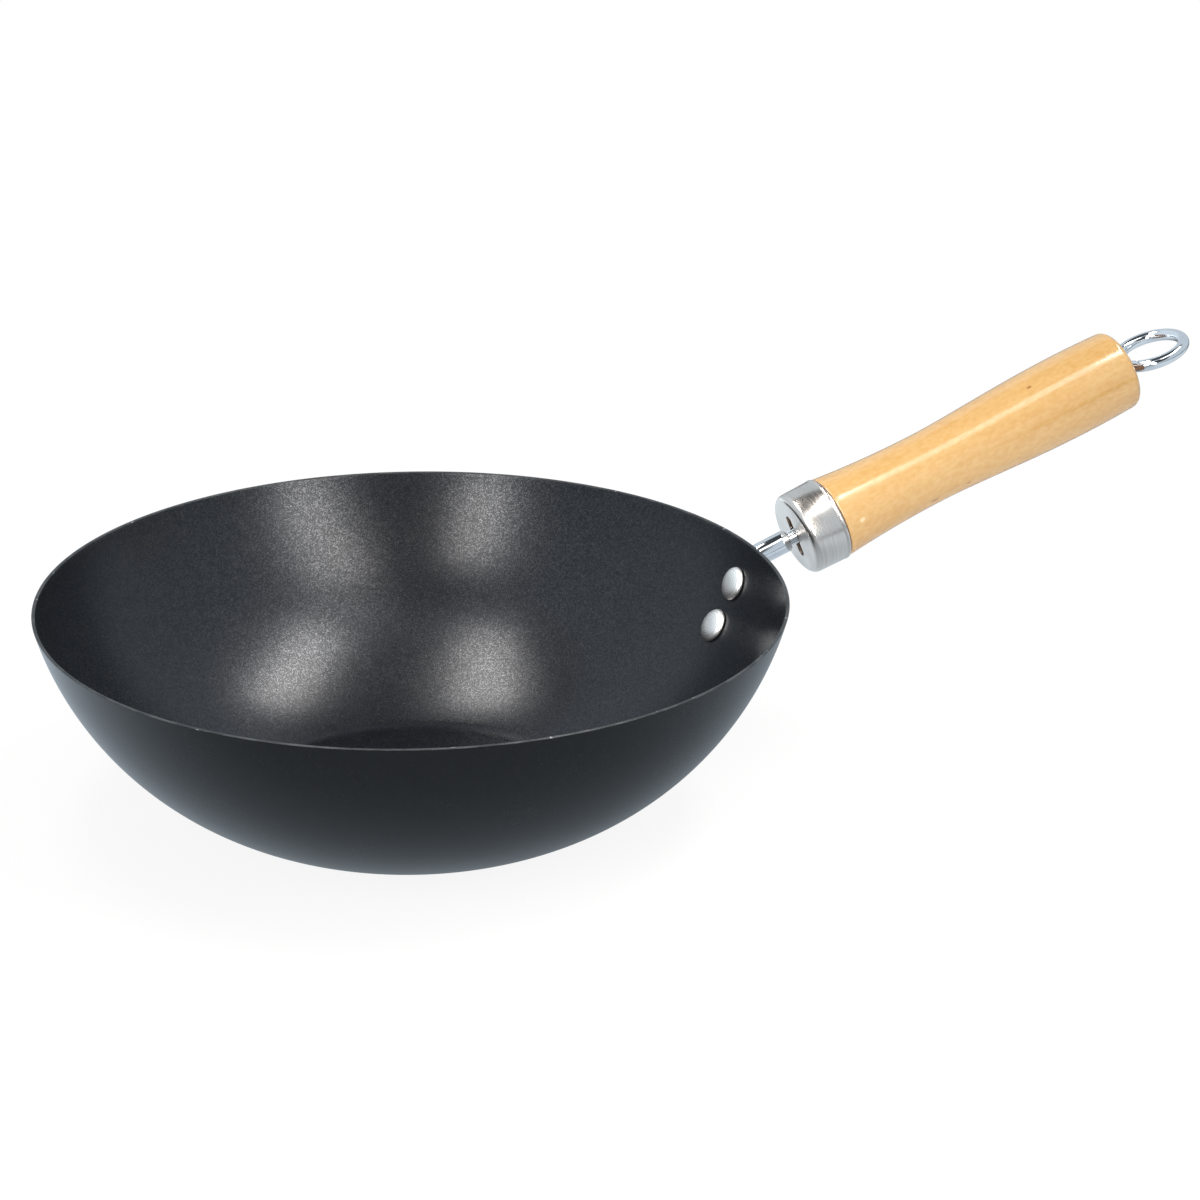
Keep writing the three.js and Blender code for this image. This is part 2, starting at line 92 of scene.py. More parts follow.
class Signal:
    """A shader output that takes part in arithmetic.

    Args:
        graph: The tree that the output belongs to.
        socket: The output itself.
    """

    def __init__(self, graph: "Graph", socket: bpy.types.NodeSocket) -> None:
        """Keeps the tree and the output."""
        self.graph = graph
        self.socket = socket

    def _math(self, operation: str, first: "Value", second: "Value" = 0.0) -> "Signal":
        """Adds a Math node.

        Args:
            operation: What it works out.
            first: Its first value.
            second: Its second value, which some operations leave unused.

        Returns:
            Its result.
        """
        return self.graph.node("ShaderNodeMath", {"operation": operation}, {0: first, 1: second})

    def __add__(self, other: "Value") -> "Signal":
        """This signal plus another value."""
        return self._math("ADD", self, other)

    def __radd__(self, other: "Value") -> "Signal":
        """Another value plus this signal."""
        return self._math("ADD", other, self)

    def __sub__(self, other: "Value") -> "Signal":
        """This signal minus another value."""
        return self._math("SUBTRACT", self, other)

    def __rsub__(self, other: "Value") -> "Signal":
        """Another value minus this signal."""
        return self._math("SUBTRACT", other, self)

    def __mul__(self, other: "Value") -> "Signal":
        """This signal times another value."""
        return self._math("MULTIPLY", self, other)

    def __rmul__(self, other: "Value") -> "Signal":
        """Another value times this signal."""
        return self._math("MULTIPLY", other, self)

    def __truediv__(self, other: "Value") -> "Signal":
        """This signal divided by another value."""
        return self._math("DIVIDE", self, other)

    def __rtruediv__(self, other: "Value") -> "Signal":
        """Another value divided by this signal."""
        return self._math("DIVIDE", other, self)

    def __pow__(self, other: "Value") -> "Signal":
        """This signal to the power of another value."""
        return self._math("POWER", self, other)

    def __rpow__(self, other: "Value") -> "Signal":
        """Another value to the power of this signal."""
        return self._math("POWER", other, self)

    def __abs__(self) -> "Signal":
        """This signal without its sign."""
        return self._math("ABSOLUTE", self)

    def sine(self) -> "Signal":
        """The sine of this signal, taken as an angle in radians."""
        return self._math("SINE", self)

    def other(self, name: str) -> "Signal":
        """Another output of the same node, by its name."""
        return Signal(self.graph, self.socket.node.outputs[name])

    def span(self, low: float, high: float) -> "Signal":
        """A smooth step from 0 at low to 1 at high.

        Args:
            low: The value that gives 0.
            high: The value that gives 1.

        Returns:
            The stepped signal.
        """
        settings = {"interpolation_type": "SMOOTHSTEP"}
        sockets = {"Value": self, "From Min": low, "From Max": high}
        return self.graph.node("ShaderNodeMapRange", settings, sockets)


Value = Union[Signal, float]


class Graph:
    """A shader node tree that is filled node by node.

    Args:
        tree: The tree to fill. Its nodes are removed first.
    """

    def __init__(self, tree: bpy.types.NodeTree) -> None:
        """Empties the tree."""
        self.tree = tree
        tree.nodes.clear()

    def node(self, kind: str, settings: dict, sockets: dict, output: Union[int, str] = 0) -> Signal:
        """Adds a node.

        Args:
            kind: The node's type.
            settings: Its properties, which are set first.
            sockets: Its inputs by name or number, as a signal or a constant.
            output: The output to return.

        Returns:
            The chosen output, or the first input of a node that ends the tree.
        """
        made = self.tree.nodes.new(kind)
        for name, value in settings.items():
            setattr(made, name, value)
        for key, value in sockets.items():
            self._feed(made.inputs[key], value)
        ends = made.outputs if made.outputs else made.inputs
        return Signal(self, ends[output])

    def _feed(self, socket: bpy.types.NodeSocket, value: object) -> None:
        """Links or sets an input.

        Args:
            socket: The input.
            value: A signal to link or a constant to set.
        """
        if isinstance(value, Signal):
            self.tree.links.new(value.socket, socket)
        else:
            socket.default_value = value

    def place(self, scale: Triple = EVEN) -> Signal:
        """The point on the piece in its own axes, in metres, times a scale.

        Args:
            scale: The factors along the piece's axes.

        Returns:
            The scaled point.
        """
        point = self.node("ShaderNodeTexCoord", {}, {}, "Object")
        return self.node("ShaderNodeVectorMath", {"operation": "MULTIPLY"}, {0: point, 1: scale})

    def axis(self, name: str) -> Signal:
        """One coordinate of the point on the piece, X, Y or Z, in metres."""
        return self.node("ShaderNodeSeparateXYZ", {}, {"Vector": self.place()}, name)

    def dot(self, vector: Signal, direction: Sequence[float]) -> Signal:
        """How far a vector reaches along a direction.

        Args:
            vector: The vector.
            direction: The direction, of length 1.

        Returns:
            The reach as a value.
        """
        sockets = {0: vector, 1: direction}
        return self.node("ShaderNodeVectorMath", {"operation": "DOT_PRODUCT"}, sockets, "Value")

    def length(self, vector: Signal) -> Signal:
        """The length of a vector."""
        return self.node("ShaderNodeVectorMath", {"operation": "LENGTH"}, {0: vector}, "Value")

    def scaled(self, colour: Signal, factor: Signal) -> Signal:
        """A colour times a value.

        Args:
            colour: The colour.
            factor: The value.

        Returns:
            The brighter or darker colour.
        """
        sockets = {0: colour, "Scale": factor}
        return self.node("ShaderNodeVectorMath", {"operation": "SCALE"}, sockets)

    def cells(self, frequency: float) -> Signal:
        """A random value from 0 to 1 in each cell of a grain.

        Args:
            frequency: Cells in a metre.

        Returns:
            The cell's value.
        """
        sockets = {"Vector": self.place(), "Scale": frequency}
        colour = self.node("ShaderNodeTexVoronoi", {}, sockets, "Color")
        return self.node("ShaderNodeSeparateColor", {}, {"Color": colour})

    def blend(self, share: Value, first: Union[Signal, Colour], second: Union[Signal, Colour]) -> Signal:
        """A mix of two colours.

        Args:
            share: 0 gives the first, 1 the second.
            first: The first colour.
            second: The second colour.

        Returns:
            The mixed colour.
        """
        ends = [c if isinstance(c, Signal) else (*c, 1.0) for c in (first, second)]
        settings = {"data_type": "RGBA", "blend_type": "MIX"}
        sockets = {"Factor": share, 6: ends[0], 7: ends[1]}
        return self.node("ShaderNodeMix", settings, sockets, 2)

    def bump(self, height: Signal, distance: float, strength: float) -> Signal:
        """A normal from a height.

        Args:
            height: The height, 0 to 1.
            distance: The height of 1 in millimetres.
            strength: The share of it that shows.

        Returns:
            The bent normal.
        """
        sockets = {"Height": height, "Distance": distance * MM, "Strength": strength}
        return self.node("ShaderNodeBump", {}, sockets)


class Surface(Graph):
    """A material with one principled surface.

    Args:
        name: The material's name.
    """

    def __init__(self, name: str) -> None:
        """Makes the empty material."""
        self.material = bpy.data.materials.new(name)
        self.material.use_nodes = True
        super().__init__(self.material.node_tree)

    def close(self, sockets: dict) -> bpy.types.Material:
        """Adds the surface and the output.

        Args:
            sockets: The surface's inputs by name.

        Returns:
            The finished material.
        """
        surface = self.node("ShaderNodeBsdfPrincipled", {}, sockets)
        self.node("ShaderNodeOutputMaterial", {}, {"Surface": surface})
        return self.material


@dataclass(frozen=True)
class Grain:
    """One layer of soft noise from 0 to 1, stretched along the piece's axes."""

    frequency: float
    detail: float = 3.0
    roughness: float = 0.55
    stretch: Triple = EVEN

    def on(self, graph: Graph) -> Signal:
        """Adds the layer to a material.

        Args:
            graph: The material's node tree.

        Returns:
            The noise value.
        """
        sockets = {
            "Vector": graph.place(self.stretch),
            "Scale": self.frequency,
            "Detail": self.detail,
            "Roughness": self.roughness,
        }
        return graph.node("ShaderNodeTexNoise", {}, sockets)


# Finishes


@dataclass(frozen=True)
class CoatingFinish:
    """The speckled nonstick coating inside the bowl."""

    colour: Colour = (0.0038, 0.0056, 0.0084)
    fleck: Colour = (0.081, 0.080, 0.083)
    fleck_pitch: float = 0.30
    fleck_share: float = 0.3
    fleck_softness: float = 0.15
    fine_ratio: float = 2.3
    roughness: float = 0.27
    cloud: Grain = Grain(38.0)
    cloud_depth: float = 0.05
    mottle: Grain = Grain(4000.0, 1.0)
    mottle_depth: float = 0.15
    refraction: float = 1.40
    grain_height: float = 0.05
    grain_strength: float = 0.03

    def make(self) -> bpy.types.Material:
        """Makes the coating.

        Returns:
            The material.
        """
        graph = Surface("nonstick_coating")
        frequency = 1 / (self.fleck_pitch * MM)
        cell = graph.cells(frequency)
        fine = graph.cells(self.fine_ratio * frequency)
        edge = 1 - self.fleck_share
        bright = cell.span(edge - self.fleck_softness, edge + self.fleck_softness)
        cloud = self.cloud_depth * (self.cloud.on(graph) - 0.5)
        mottle = self.mottle_depth * (self.mottle.on(graph) - 0.5)
        return graph.close({
            "Base Color": graph.blend(bright, self.colour, self.fleck),
            "Metallic": bright,
            "Roughness": self.roughness + cloud + mottle,
            "IOR": self.refraction,
            "Normal": graph.bump(0.7 * cell + 0.3 * fine, self.grain_height, self.grain_strength),
        })


@dataclass(frozen=True)
class OutsideFinish:
    """The smooth satin coating on the outside of the bowl."""

    colour: Colour = (0.0022, 0.0026, 0.0034)
    dust: Colour = (0.020, 0.022, 0.024)
    dust_frequency: float = 2600.0
    dust_share: float = 0.5
    roughness: float = 0.28
    cloud: Grain = Grain(26.0)
    cloud_depth: float = 0.07
    refraction: float = 1.5
    peel: Grain = Grain(625.0, 2.0)
    peel_height: float = 0.006
    peel_strength: float = 0.5

    def make(self) -> bpy.types.Material:
        """Makes the outside coating.

        Returns:
            The material.
        """
        graph = Surface("satin_outside")
        specks = self.dust_share * graph.cells(self.dust_frequency).span(0.93, 1.0)
        return graph.close({
            "Base Color": graph.blend(specks, self.colour, self.dust),
            "Roughness": self.roughness + self.cloud_depth * (self.cloud.on(graph) - 0.5),
            "IOR": self.refraction,
            "Normal": graph.bump(self.peel.on(graph), self.peel_height, self.peel_strength),
        })


@dataclass(frozen=True)
class CutEdgeFinish:
    """The thinly coated cut edge of the rim with bare chips."""

    colour: Colour = (0.008, 0.009, 0.010)
    bare: Colour = (0.30, 0.31, 0.32)
    wear: Grain = Grain(90.0, 4.0)
    wear_share: float = 0.10
    chip_frequency: float = 900.0
    chip_share: float = 0.6
    bare_metallic: float = 0.6
    roughness: float = 0.42
    chip_polish: float = 0.1
    burr: Grain = Grain(1500.0)
    burr_height: float = 0.02
    burr_strength: float = 0.4

    def make(self) -> bpy.types.Material:
        """Makes the cut edge.

        Returns:
            The material.
        """
        graph = Surface("cut_edge")
        wear = self.wear.on(graph).span(0.42, 0.66)
        chip = graph.cells(self.chip_frequency).span(0.988, 0.995)
        share = self.wear_share * wear + self.chip_share * chip
        return graph.close({
            "Base Color": graph.blend(share, self.colour, self.bare),
            "Metallic": self.bare_metallic * share,
            "Roughness": self.roughness - self.chip_polish * chip,
            "Normal": graph.bump(self.burr.on(graph), self.burr_height, self.burr_strength),
        })


@dataclass(frozen=True)
class PlatedFinish:
    """Bright plating on rod and wire."""

    name: str
    colour: Colour = (0.84, 0.85, 0.86)
    stain: Colour = (0.60, 0.62, 0.65)
    haze: Grain = Grain(420.0, 4.0)
    stain_share: float = 0.35
    roughness: float = 0.06
    haze_depth: float = 0.08
    ripple: Grain = Grain(160.0, 2.0)
    drawn: Grain = Grain(900.0, stretch=(1.0, 1.0, 0.12))
    ripple_height: float = 0.012
    ripple_strength: float = 0.35

    def make(self) -> bpy.types.Material:
        """Makes the plating.

        Returns:
            The material.
        """
        graph = Surface(self.name)
        haze = self.haze.on(graph).span(0.45, 0.8)
        height = 0.75 * self.ripple.on(graph) + 0.25 * self.drawn.on(graph)
        return graph.close({
            "Base Color": graph.blend(self.stain_share * haze, self.colour, self.stain),
            "Metallic": 1.0,
            "Roughness": self.roughness + self.haze_depth * haze,
            "Normal": graph.bump(height, self.ripple_height, self.ripple_strength),
        })


@dataclass(frozen=True)
class RivetFinish:
    """Satin rivet metal with faint rings from heading."""

    colour: Colour = (1.0, 0.97, 0.93)
    mark: Colour = (0.60, 0.58, 0.56)
    ring_pitch: float = 1.0
    ring_share: float = 0.5
    wobble: Grain = Grain(500.0)
    wobble_turns: float = 0.8
    scuff: Grain = Grain(700.0, 2.0)
    scuff_share: float = 0.1
    roughness: float = 0.41
    scuff_depth: float = 0.10
    ring_height: float = 0.045
    ring_strength: float = 0.5

    def make(self) -> bpy.types.Material:
        """Makes the rivet metal.

        Returns:
            The material.
        """
        graph = Surface("rivet_metal")
        across = graph.length(graph.place(FLAT))
        turns = across / (self.ring_pitch * MM) + self.wobble_turns * self.wobble.on(graph)
        rings = (turns * math.tau).sine()
        scuff = self.scuff.on(graph).span(0.52, 0.75)
        marked = self.scuff_share * scuff + self.ring_share * rings.span(0.0, 0.95)
        return graph.close({
            "Base Color": graph.blend(marked, self.colour, self.mark),
            "Metallic": 1.0,
            "Roughness": self.roughness + self.scuff_depth * scuff,
            "Normal": graph.bump(0.5 + 0.35 * rings, self.ring_height, self.ring_strength),
        })


@dataclass(frozen=True)
class FerruleFinish:
    """Drawn steel, brushed round its side and polished on its face."""

    colour: Colour = (0.83, 0.765, 0.70)
    streak: Colour = (0.62, 0.565, 0.515)
    lines: Grain = Grain(3333.333, 3.0, 0.7, (0.012, 0.012, 1.0))
    line_share: float = 0.7
    broad: Grain = Grain(1000.0, 2.0, stretch=(0.03, 0.03, 1.0))
    broad_share: float = 0.15
    roughness: float = 0.20
    streak_depth: float = 0.12
    line_height: float = 0.045
    line_strength: float = 0.5

    def make(self) -> bpy.types.Material:
        """Makes the ferrule metal.

        Returns:
            The material.
        """
        graph = Surface("ferrule_metal")
        lines = self.lines.on(graph)
        broad = self.broad.on(graph)
        share = self.line_share * lines.span(0.35, 0.7) + self.broad_share * broad
        return graph.close({
            "Base Color": graph.blend(share, self.colour, self.streak),
            "Metallic": 1.0,
            "Roughness": self.roughness + self.streak_depth * share,
            "Normal": graph.bump(0.9 * lines + 0.1 * broad, self.line_height, self.line_strength),
        })


@dataclass(frozen=True)
class Fleck:
    """One small mark in the wood, or a pale painted highlight, at an angle from the grip's upper side."""

    along: float
    angle_deg: float
    length: float
    width: float
    colour: Colour
    share: float
    ragged: Grain = Grain(2500.0)

    def mask(self, graph: Graph, radius: float) -> Signal:
        """Where the mark shows.

        Args:
            graph: The wood's node tree.
            radius: The grip's radius there.

        Returns:
            The mark's share in its middle, 0 outside it.
        """
        angle = math.radians(self.angle_deg)
        unit = graph.node("ShaderNodeVectorMath", {"operation": "NORMALIZE"}, {0: graph.place(FLAT)})
        facing = graph.dot(unit, (-math.cos(angle), -math.sin(angle), 0.0))
        aside = graph.dot(unit, (math.sin(angle), -math.cos(angle), 0.0))
        across = aside * (2 * radius / self.width)
        lengthwise = (graph.axis("Z") - self.along * MM) * (2 / (self.length * MM))
        reach = (across * across + lengthwise * lengthwise) ** 0.5
        reach = reach + 0.5 * (self.ragged.on(graph) - 0.5)
        return (1 - reach.span(0.45, 1.0)) * facing.span(0.0, 0.3) * self.share


@dataclass(frozen=True)
class WoodFinish:
    """Pale turned wood under clear varnish, with painted shade on the raw wood inside the ferrule and just
    behind it, painted shade on its end face and one painted highlight.
    """

    colour: Colour = (0.570, 0.372, 0.161)
    deep: Colour = (0.507, 0.293, 0.0995)
    bands: Grain = Grain(120.0, stretch=(1.0, 0.6, 0.12))
    mottle: Grain = Grain(620.0, 3.0, 0.6, (1.0, 1.0, 0.55))
    fibre: Grain = Grain(1500.0, stretch=(1.0, 1.0, 0.03))
    pore: Colour = (0.52, 0.29, 0.11)
    pores: Grain = Grain(2600.0, 2.0, stretch=(1.0, 1.0, 0.05))
    pore_share: float = 0.22
    # Raw wood inside the ferrule, darkened as painted shade; it reaches just past the shoulder as a
    # painted shadow line behind the ferrule's lip.
    raw_and_shaded: Colour = (0.22, 0.11, 0.05)
    inner_shade_to: float = 36.2
    inner_shade_fade: float = 0.4
    # The end face's colour is painted shade.
    end_shade: Colour = (0.22, 0.10, 0.04)
    end_at: float = 167.0
    end_fade: float = 0.3
    flecks_and_glint: tuple[Fleck, ...] = (
        Fleck(125.8, 24, 2.8, 1.2, (0.25, 0.11, 0.04), 0.9),
        Fleck(73.9, 123, 4.5, 1.5, (0.30, 0.14, 0.05), 0.9),
        Fleck(89.1, 121, 2.6, 1.2, (0.30, 0.14, 0.05), 0.9),
        # A pale painted highlight, the glint of a small pimple in the varnish, not a mark in the wood.
        Fleck(42.5, 84, 3.0, 2.2, (0.88, 0.72, 0.50), 0.45),
    )
    fleck_radius: float = 14.5
    roughness: float = 0.13
    fibre_depth: float = 0.06
    refraction: float = 1.78
    chatter: Grain = Grain(1000.0, 3.0, 0.6, (0.10, 0.10, 1.0))
    runs: Grain = Grain(130.0, 2.0, stretch=(1.0, 1.0, 0.25))
    nap: Grain = Grain(620.0, 3.0, 0.6, (1.0, 1.0, 1.6))
    varnish_height: float = 0.08
    varnish_strength: float = 0.65

    def make(self) -> bpy.types.Material:
        """Makes the varnished wood.

        Returns:
            The material.
        """
        graph = Surface("varnished_wood")
        fibre = self.fibre.on(graph)
        height = 0.3 * self.chatter.on(graph) + 0.3 * self.runs.on(graph) + 0.4 * self.nap.on(graph)
        return graph.close({
            "Base Color": self._colour(graph, fibre),
            "Roughness": self.roughness + self.fibre_depth * (fibre - 0.5),
            "IOR": self.refraction,
            "Normal": graph.bump(height, self.varnish_height, self.varnish_strength),
        })

    def _colour(self, graph: Graph, fibre: Signal) -> Signal:
        """The wood's colour with its grain and marks, a painted highlight, and painted shade on the
        unvarnished wood inside the ferrule and on the end face.

        Args:
            graph: The wood's node tree.
            fibre: The layer of fine fibres.

        Returns:
            The colour.
        """
        share = 0.45 * self.bands.on(graph).span(0.30, 0.75)
        share = share + 0.6 * self.mottle.on(graph).span(0.3, 0.7)
        share = share + 0.1 * fibre.span(0.3, 0.75)
        colour = graph.blend(share, self.colour, self.deep)
        pores = self.pores.on(graph).span(0.66, 0.78)
        colour = graph.blend(self.pore_share * pores, colour, self.pore)
        # The dark flecks are marks in the wood; the pale one is a painted highlight.
        for fleck in self.flecks_and_glint:
            colour = graph.blend(fleck.mask(graph, self.fleck_radius), colour, fleck.colour)
        along = graph.axis("Z")
        # Painted shade on the wood inside the ferrule, with a painted shadow line just behind its lip.
        inside = 1 - along.span((self.inner_shade_to - self.inner_shade_fade) * MM, self.inner_shade_to * MM)
        colour = graph.blend(inside, colour, self.raw_and_shaded)
        # Painted shade on the end face.
        end = along.span((self.end_at - self.end_fade) * MM, self.end_at * MM)
        return graph.blend(end, colour, self.end_shade)


# Meshes


@dataclass
class Skin:
    """Points in millimetres and faces of a mesh in the making."""

    points: list[Vector] = field(default_factory=list)
    faces: list[tuple[int, ...]] = field(default_factory=list)
    marks: list[int] = field(default_factory=list)

    def ring(self, points: Iterable[Sequence[float]]) -> range:
        """Adds a ring of points.

        Args:
            points: The points in order; a single one is a pole.

        Returns:
            The points' numbers.
        """
        start = len(self.points)
        self.points.extend(Vector(p) for p in points)
        return range(start, len(self.points))

    def bridge(self, lower: range, upper: range, mark: int = 0) -> None:
        """Adds the faces between two rings.

        Args:
            lower: The first ring or pole.
            upper: The next ring or pole.
            mark: The faces' material number.
        """
        count = max(len(lower), len(upper))
        for i in range(count):
            j = (i + 1) % count
            if len(lower) == 1:
                face = (lower[0], upper[j], upper[i])
            elif len(upper) == 1:
                face = (lower[i], lower[j], upper[0])
            else:
                face = (lower[i], lower[j], upper[j], upper[i])
            self.faces.append(face)
            self.marks.append(mark)

    def join(self, rings: Sequence[range]) -> None:
        """Adds the faces between each ring and the next one.

        Args:
            rings: The rings in order.
        """
        for lower, upper in zip(rings, rings[1:]):
            self.bridge(lower, upper)

    def mesh(self, name: str) -> bpy.types.Mesh:
        """Makes the mesh in metres.

        Args:
            name: The mesh's name.

        Returns:
            The mesh, smooth with sharp corners.
        """
        made = bpy.data.meshes.new(name)
        made.from_pydata([p * MM for p in self.points], [], self.faces)
        made.polygons.foreach_set("material_index", self.marks)
        finish_shading(made)
        return made


def finish_shading(mesh: bpy.types.Mesh) -> None:
    """Shades a mesh smooth, apart from its corners.

    Args:
        mesh: The mesh to shade.
    """
    mesh.polygons.foreach_set("use_smooth", [True] * len(mesh.polygons))
    mesh.set_sharp_from_angle(angle=SHARP_ANGLE)
    mesh.update()


def circle(radius: float, height: float, count: int) -> list[Triple]:
    """Points of a circle about the Z axis.

    Args:
        radius: Its radius; 0 gives one point.
        height: Its height.
        count: The number of points.

    Returns:
        The points, counterclockwise.
    """
    if radius < POLE_RADIUS:
        return [(0.0, 0.0, height)]
    turns = (math.tau * i / count for i in range(count))
    return [(radius * math.cos(t), radius * math.sin(t), height) for t in turns]


def revolved(profile: Profile, count: int, marks: Sequence[int] = ()) -> Skin:
    """Turns a profile about the Z axis, with the solid on its left.

    Args:
        profile: Pairs of radius and height; a closed one ends where it starts.
        count: Points in a ring.
        marks: The material number of each stretch, 0 where it is left out.

    Returns:
        The turned skin.
    """
    skin = Skin()
    closed = profile[0] == profile[-1]
    rings = [skin.ring(circle(r, z, count)) for r, z in (profile[:-1] if closed else profile)]
    if closed:
        rings.append(rings[0])
    for k in range(len(rings) - 1):
        skin.bridge(rings[k], rings[k + 1], marks[k] if marks else 0)
    return skin


def arc(centre: tuple[float, float], radius: float, start: float, end: float, steps: int) -> Profile:
    """Points of an arc, where angle 0 points down and grows outwards.

    Args:
        centre: The arc's centre.
        radius: Its radius.
        start: The first angle.
        end: The last angle.
        steps: The number of steps.

    Returns:
        The points in order.
    """
    angles = [start + (end - start) * i / steps for i in range(steps + 1)]
    return [(centre[0] + radius * math.sin(a), centre[1] - radius * math.cos(a)) for a in angles]


def eased_corner(before: Vector, corner: Vector, after: Vector, steps: int = 5) -> Profile:
    """A small rounding of a corner.

    Args:
        before: Where it starts.
        corner: The sharp corner.
        after: Where it ends.
        steps: The number of steps.

    Returns:
        The points of the rounding.
    """
    points = []
    for i in range(steps + 1):
        t = i / steps
        point = before * (1 - t) ** 2 + corner * (2 * t * (1 - t)) + after * t ** 2
        points.append((point.x, point.y))
    return points


def new_object(name: str, mesh: bpy.types.Mesh, matrix: Matrix) -> bpy.types.Object:
    """Links an object to the scene.

    Args:
        name: Its name.
        mesh: Its mesh.
        matrix: Its place.

    Returns:
        The object.
    """
    made = bpy.data.objects.new(name, mesh)
    bpy.context.scene.collection.objects.link(made)
    made.matrix_world = matrix
    bpy.context.view_layer.update()
    return made


def plug(radius: float, low: float, high: float, place: Matrix) -> bpy.types.Object:
    """A round cutter about the Z axis of a place.

    Args:
        radius: Its radius.
        low: Its lower end.
        high: Its upper end.
        place: Its matrix.

    Returns:
        The cutter.
    """
    profile = [(0.0, low), (radius, low), (radius, high), (0.0, high)]
    return new_object("plug", revolved(profile, PLUG_SEGMENTS).mesh("plug"), place)


def combine(target: bpy.types.Object, tool: bpy.types.Object, cut: Cut) -> None:
    """Cuts or joins one object with another, which is used up.

    Args:
        target: The object that changes.
        tool: The cutter, or the object that is joined on.
        cut: What to do.
    """
    step = target.modifiers.new("combine", "BOOLEAN")
    step.operation = cut.value
    step.solver = "EXACT"
    step.object = tool
    graph = bpy.context.evaluated_depsgraph_get()
    graph.update()
    changed = bpy.data.meshes.new_from_object(target.evaluated_get(graph))
    target.modifiers.clear()
    old = target.data
    target.data = changed
    bpy.data.meshes.remove(old)
    used = tool.data
    bpy.data.objects.remove(tool)
    bpy.data.meshes.remove(used)
    finish_shading(changed)


def settle(
    piece: bpy.types.Object, node: str, body: Body, materials: Sequence[bpy.types.Material]
) -> None:
    """Gives a piece its materials and its place in the frame.

    Args:
        piece: The piece.
        node: The CAD node it stands for.
        body: The body it rides on.
        materials: Its materials in order.
    """
    marks = [p.material_index for p in piece.data.polygons]
    piece.data.materials.clear()
    for material in materials:
        piece.data.materials.append(material)
    piece.data.polygons.foreach_set("material_index", marks)
    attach(piece, body.value)
    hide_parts(node)
    LOG.info("%s: %d faces", piece.name, len(piece.data.polygons))


# Pieces


@dataclass(frozen=True)
class BowlShape:
    """Sizes of the pressed bowl, and the curves that follow from them."""

    rim_radius: float = 135.0
    height: float = 78.5
    rim_slope_deg: float = 75.0
    base_radius: float = 59.8
    knuckle_radius: float = 20.0
    sheet: float = 1.2
    rim_ease: float = 0.35
    rivet_azimuth_deg: float = -0.92

    @property
    def rim_slope(self) -> float:
        """The wall's slope at the rim."""
        return math.radians(self.rim_slope_deg)

    @property
    def knuckle_centre(self) -> tuple[float, float]:
        """The centre of the knuckle's arc."""
        return (self.base_radius, self.knuckle_radius)

    @property
    def wall_radius(self) -> float:
        """The radius of the wall's outer arc, from rim to knuckle."""
        run = self.rim_radius - self.knuckle_centre[0]
        rise = self.height - self.knuckle_centre[1]
        reach = run * math.sin(self.rim_slope) - rise * math.cos(self.rim_slope)
        return (run ** 2 + rise ** 2 - self.knuckle_radius ** 2) / (2 * (reach - self.knuckle_radius))

    @property
    def wall_centre(self) -> tuple[float, float]:
        """The centre of the wall's arc."""
        radius = self.wall_radius
        return (
            self.rim_radius - radius * math.sin(self.rim_slope),
            self.height + radius * math.cos(self.rim_slope),
        )

    @property
    def knuckle_angle(self) -> float:
        """The angle where the knuckle runs into the wall."""
        across = self.knuckle_centre[0] - self.wall_centre[0]
        return math.atan2(across, self.wall_centre[1] - self.knuckle_centre[1])

    def inner_angle(self, drop: float) -> float:
        """The wall's angle on its inner face.

        Args:
            drop: The depth below the rim.

        Returns:
            The angle about the wall's centre.
        """
        return math.acos((self.wall_centre[1] - self.height + drop) / (self.wall_radius - self.sheet))

    def rivet_place(self, drop: float) -> Matrix:
        """The place of a rivet, with its Z axis into the bowl.

        Args:
            drop: The depth below the rim.

        Returns:
            The rivet's matrix in metres.
        """
        angle = self.inner_angle(drop)
        radius = self.wall_radius - self.sheet
        x = self.wall_centre[0] + radius * math.sin(angle)
        z = self.wall_centre[1] - radius * math.cos(angle)
        turn = Matrix.Rotation(math.radians(self.rivet_azimuth_deg), 4, "Z")
        return turn @ Matrix.Translation(Vector((x, 0, z)) * MM) @ Matrix.Rotation(-angle, 4, "Y")


@dataclass(frozen=True)
class HandleLine:
    """The straight axis that shank, ferrule, grip and eye bolt share."""

    start: Vector
    drop: float = 7.5
    rise_deg: float = 18.4

    @property
    def rise(self) -> float:
        """The axis's rise."""
        return math.radians(self.rise_deg)

    @property
    def matrix(self) -> Matrix:
        """The place of pieces made along +Z, with their -X side up."""
        turn = Matrix.Rotation(math.pi / 2 - self.rise, 4, "Y")
        return Matrix.Translation(self.start * MM) @ turn

    @property
    def direction(self) -> Vector:
        """The axis's direction."""
        return Vector((math.cos(self.rise), 0, math.sin(self.rise)))

    @property
    def normal(self) -> Vector:
        """The upper side's direction."""
        return Vector((-math.sin(self.rise), 0, math.cos(self.rise)))


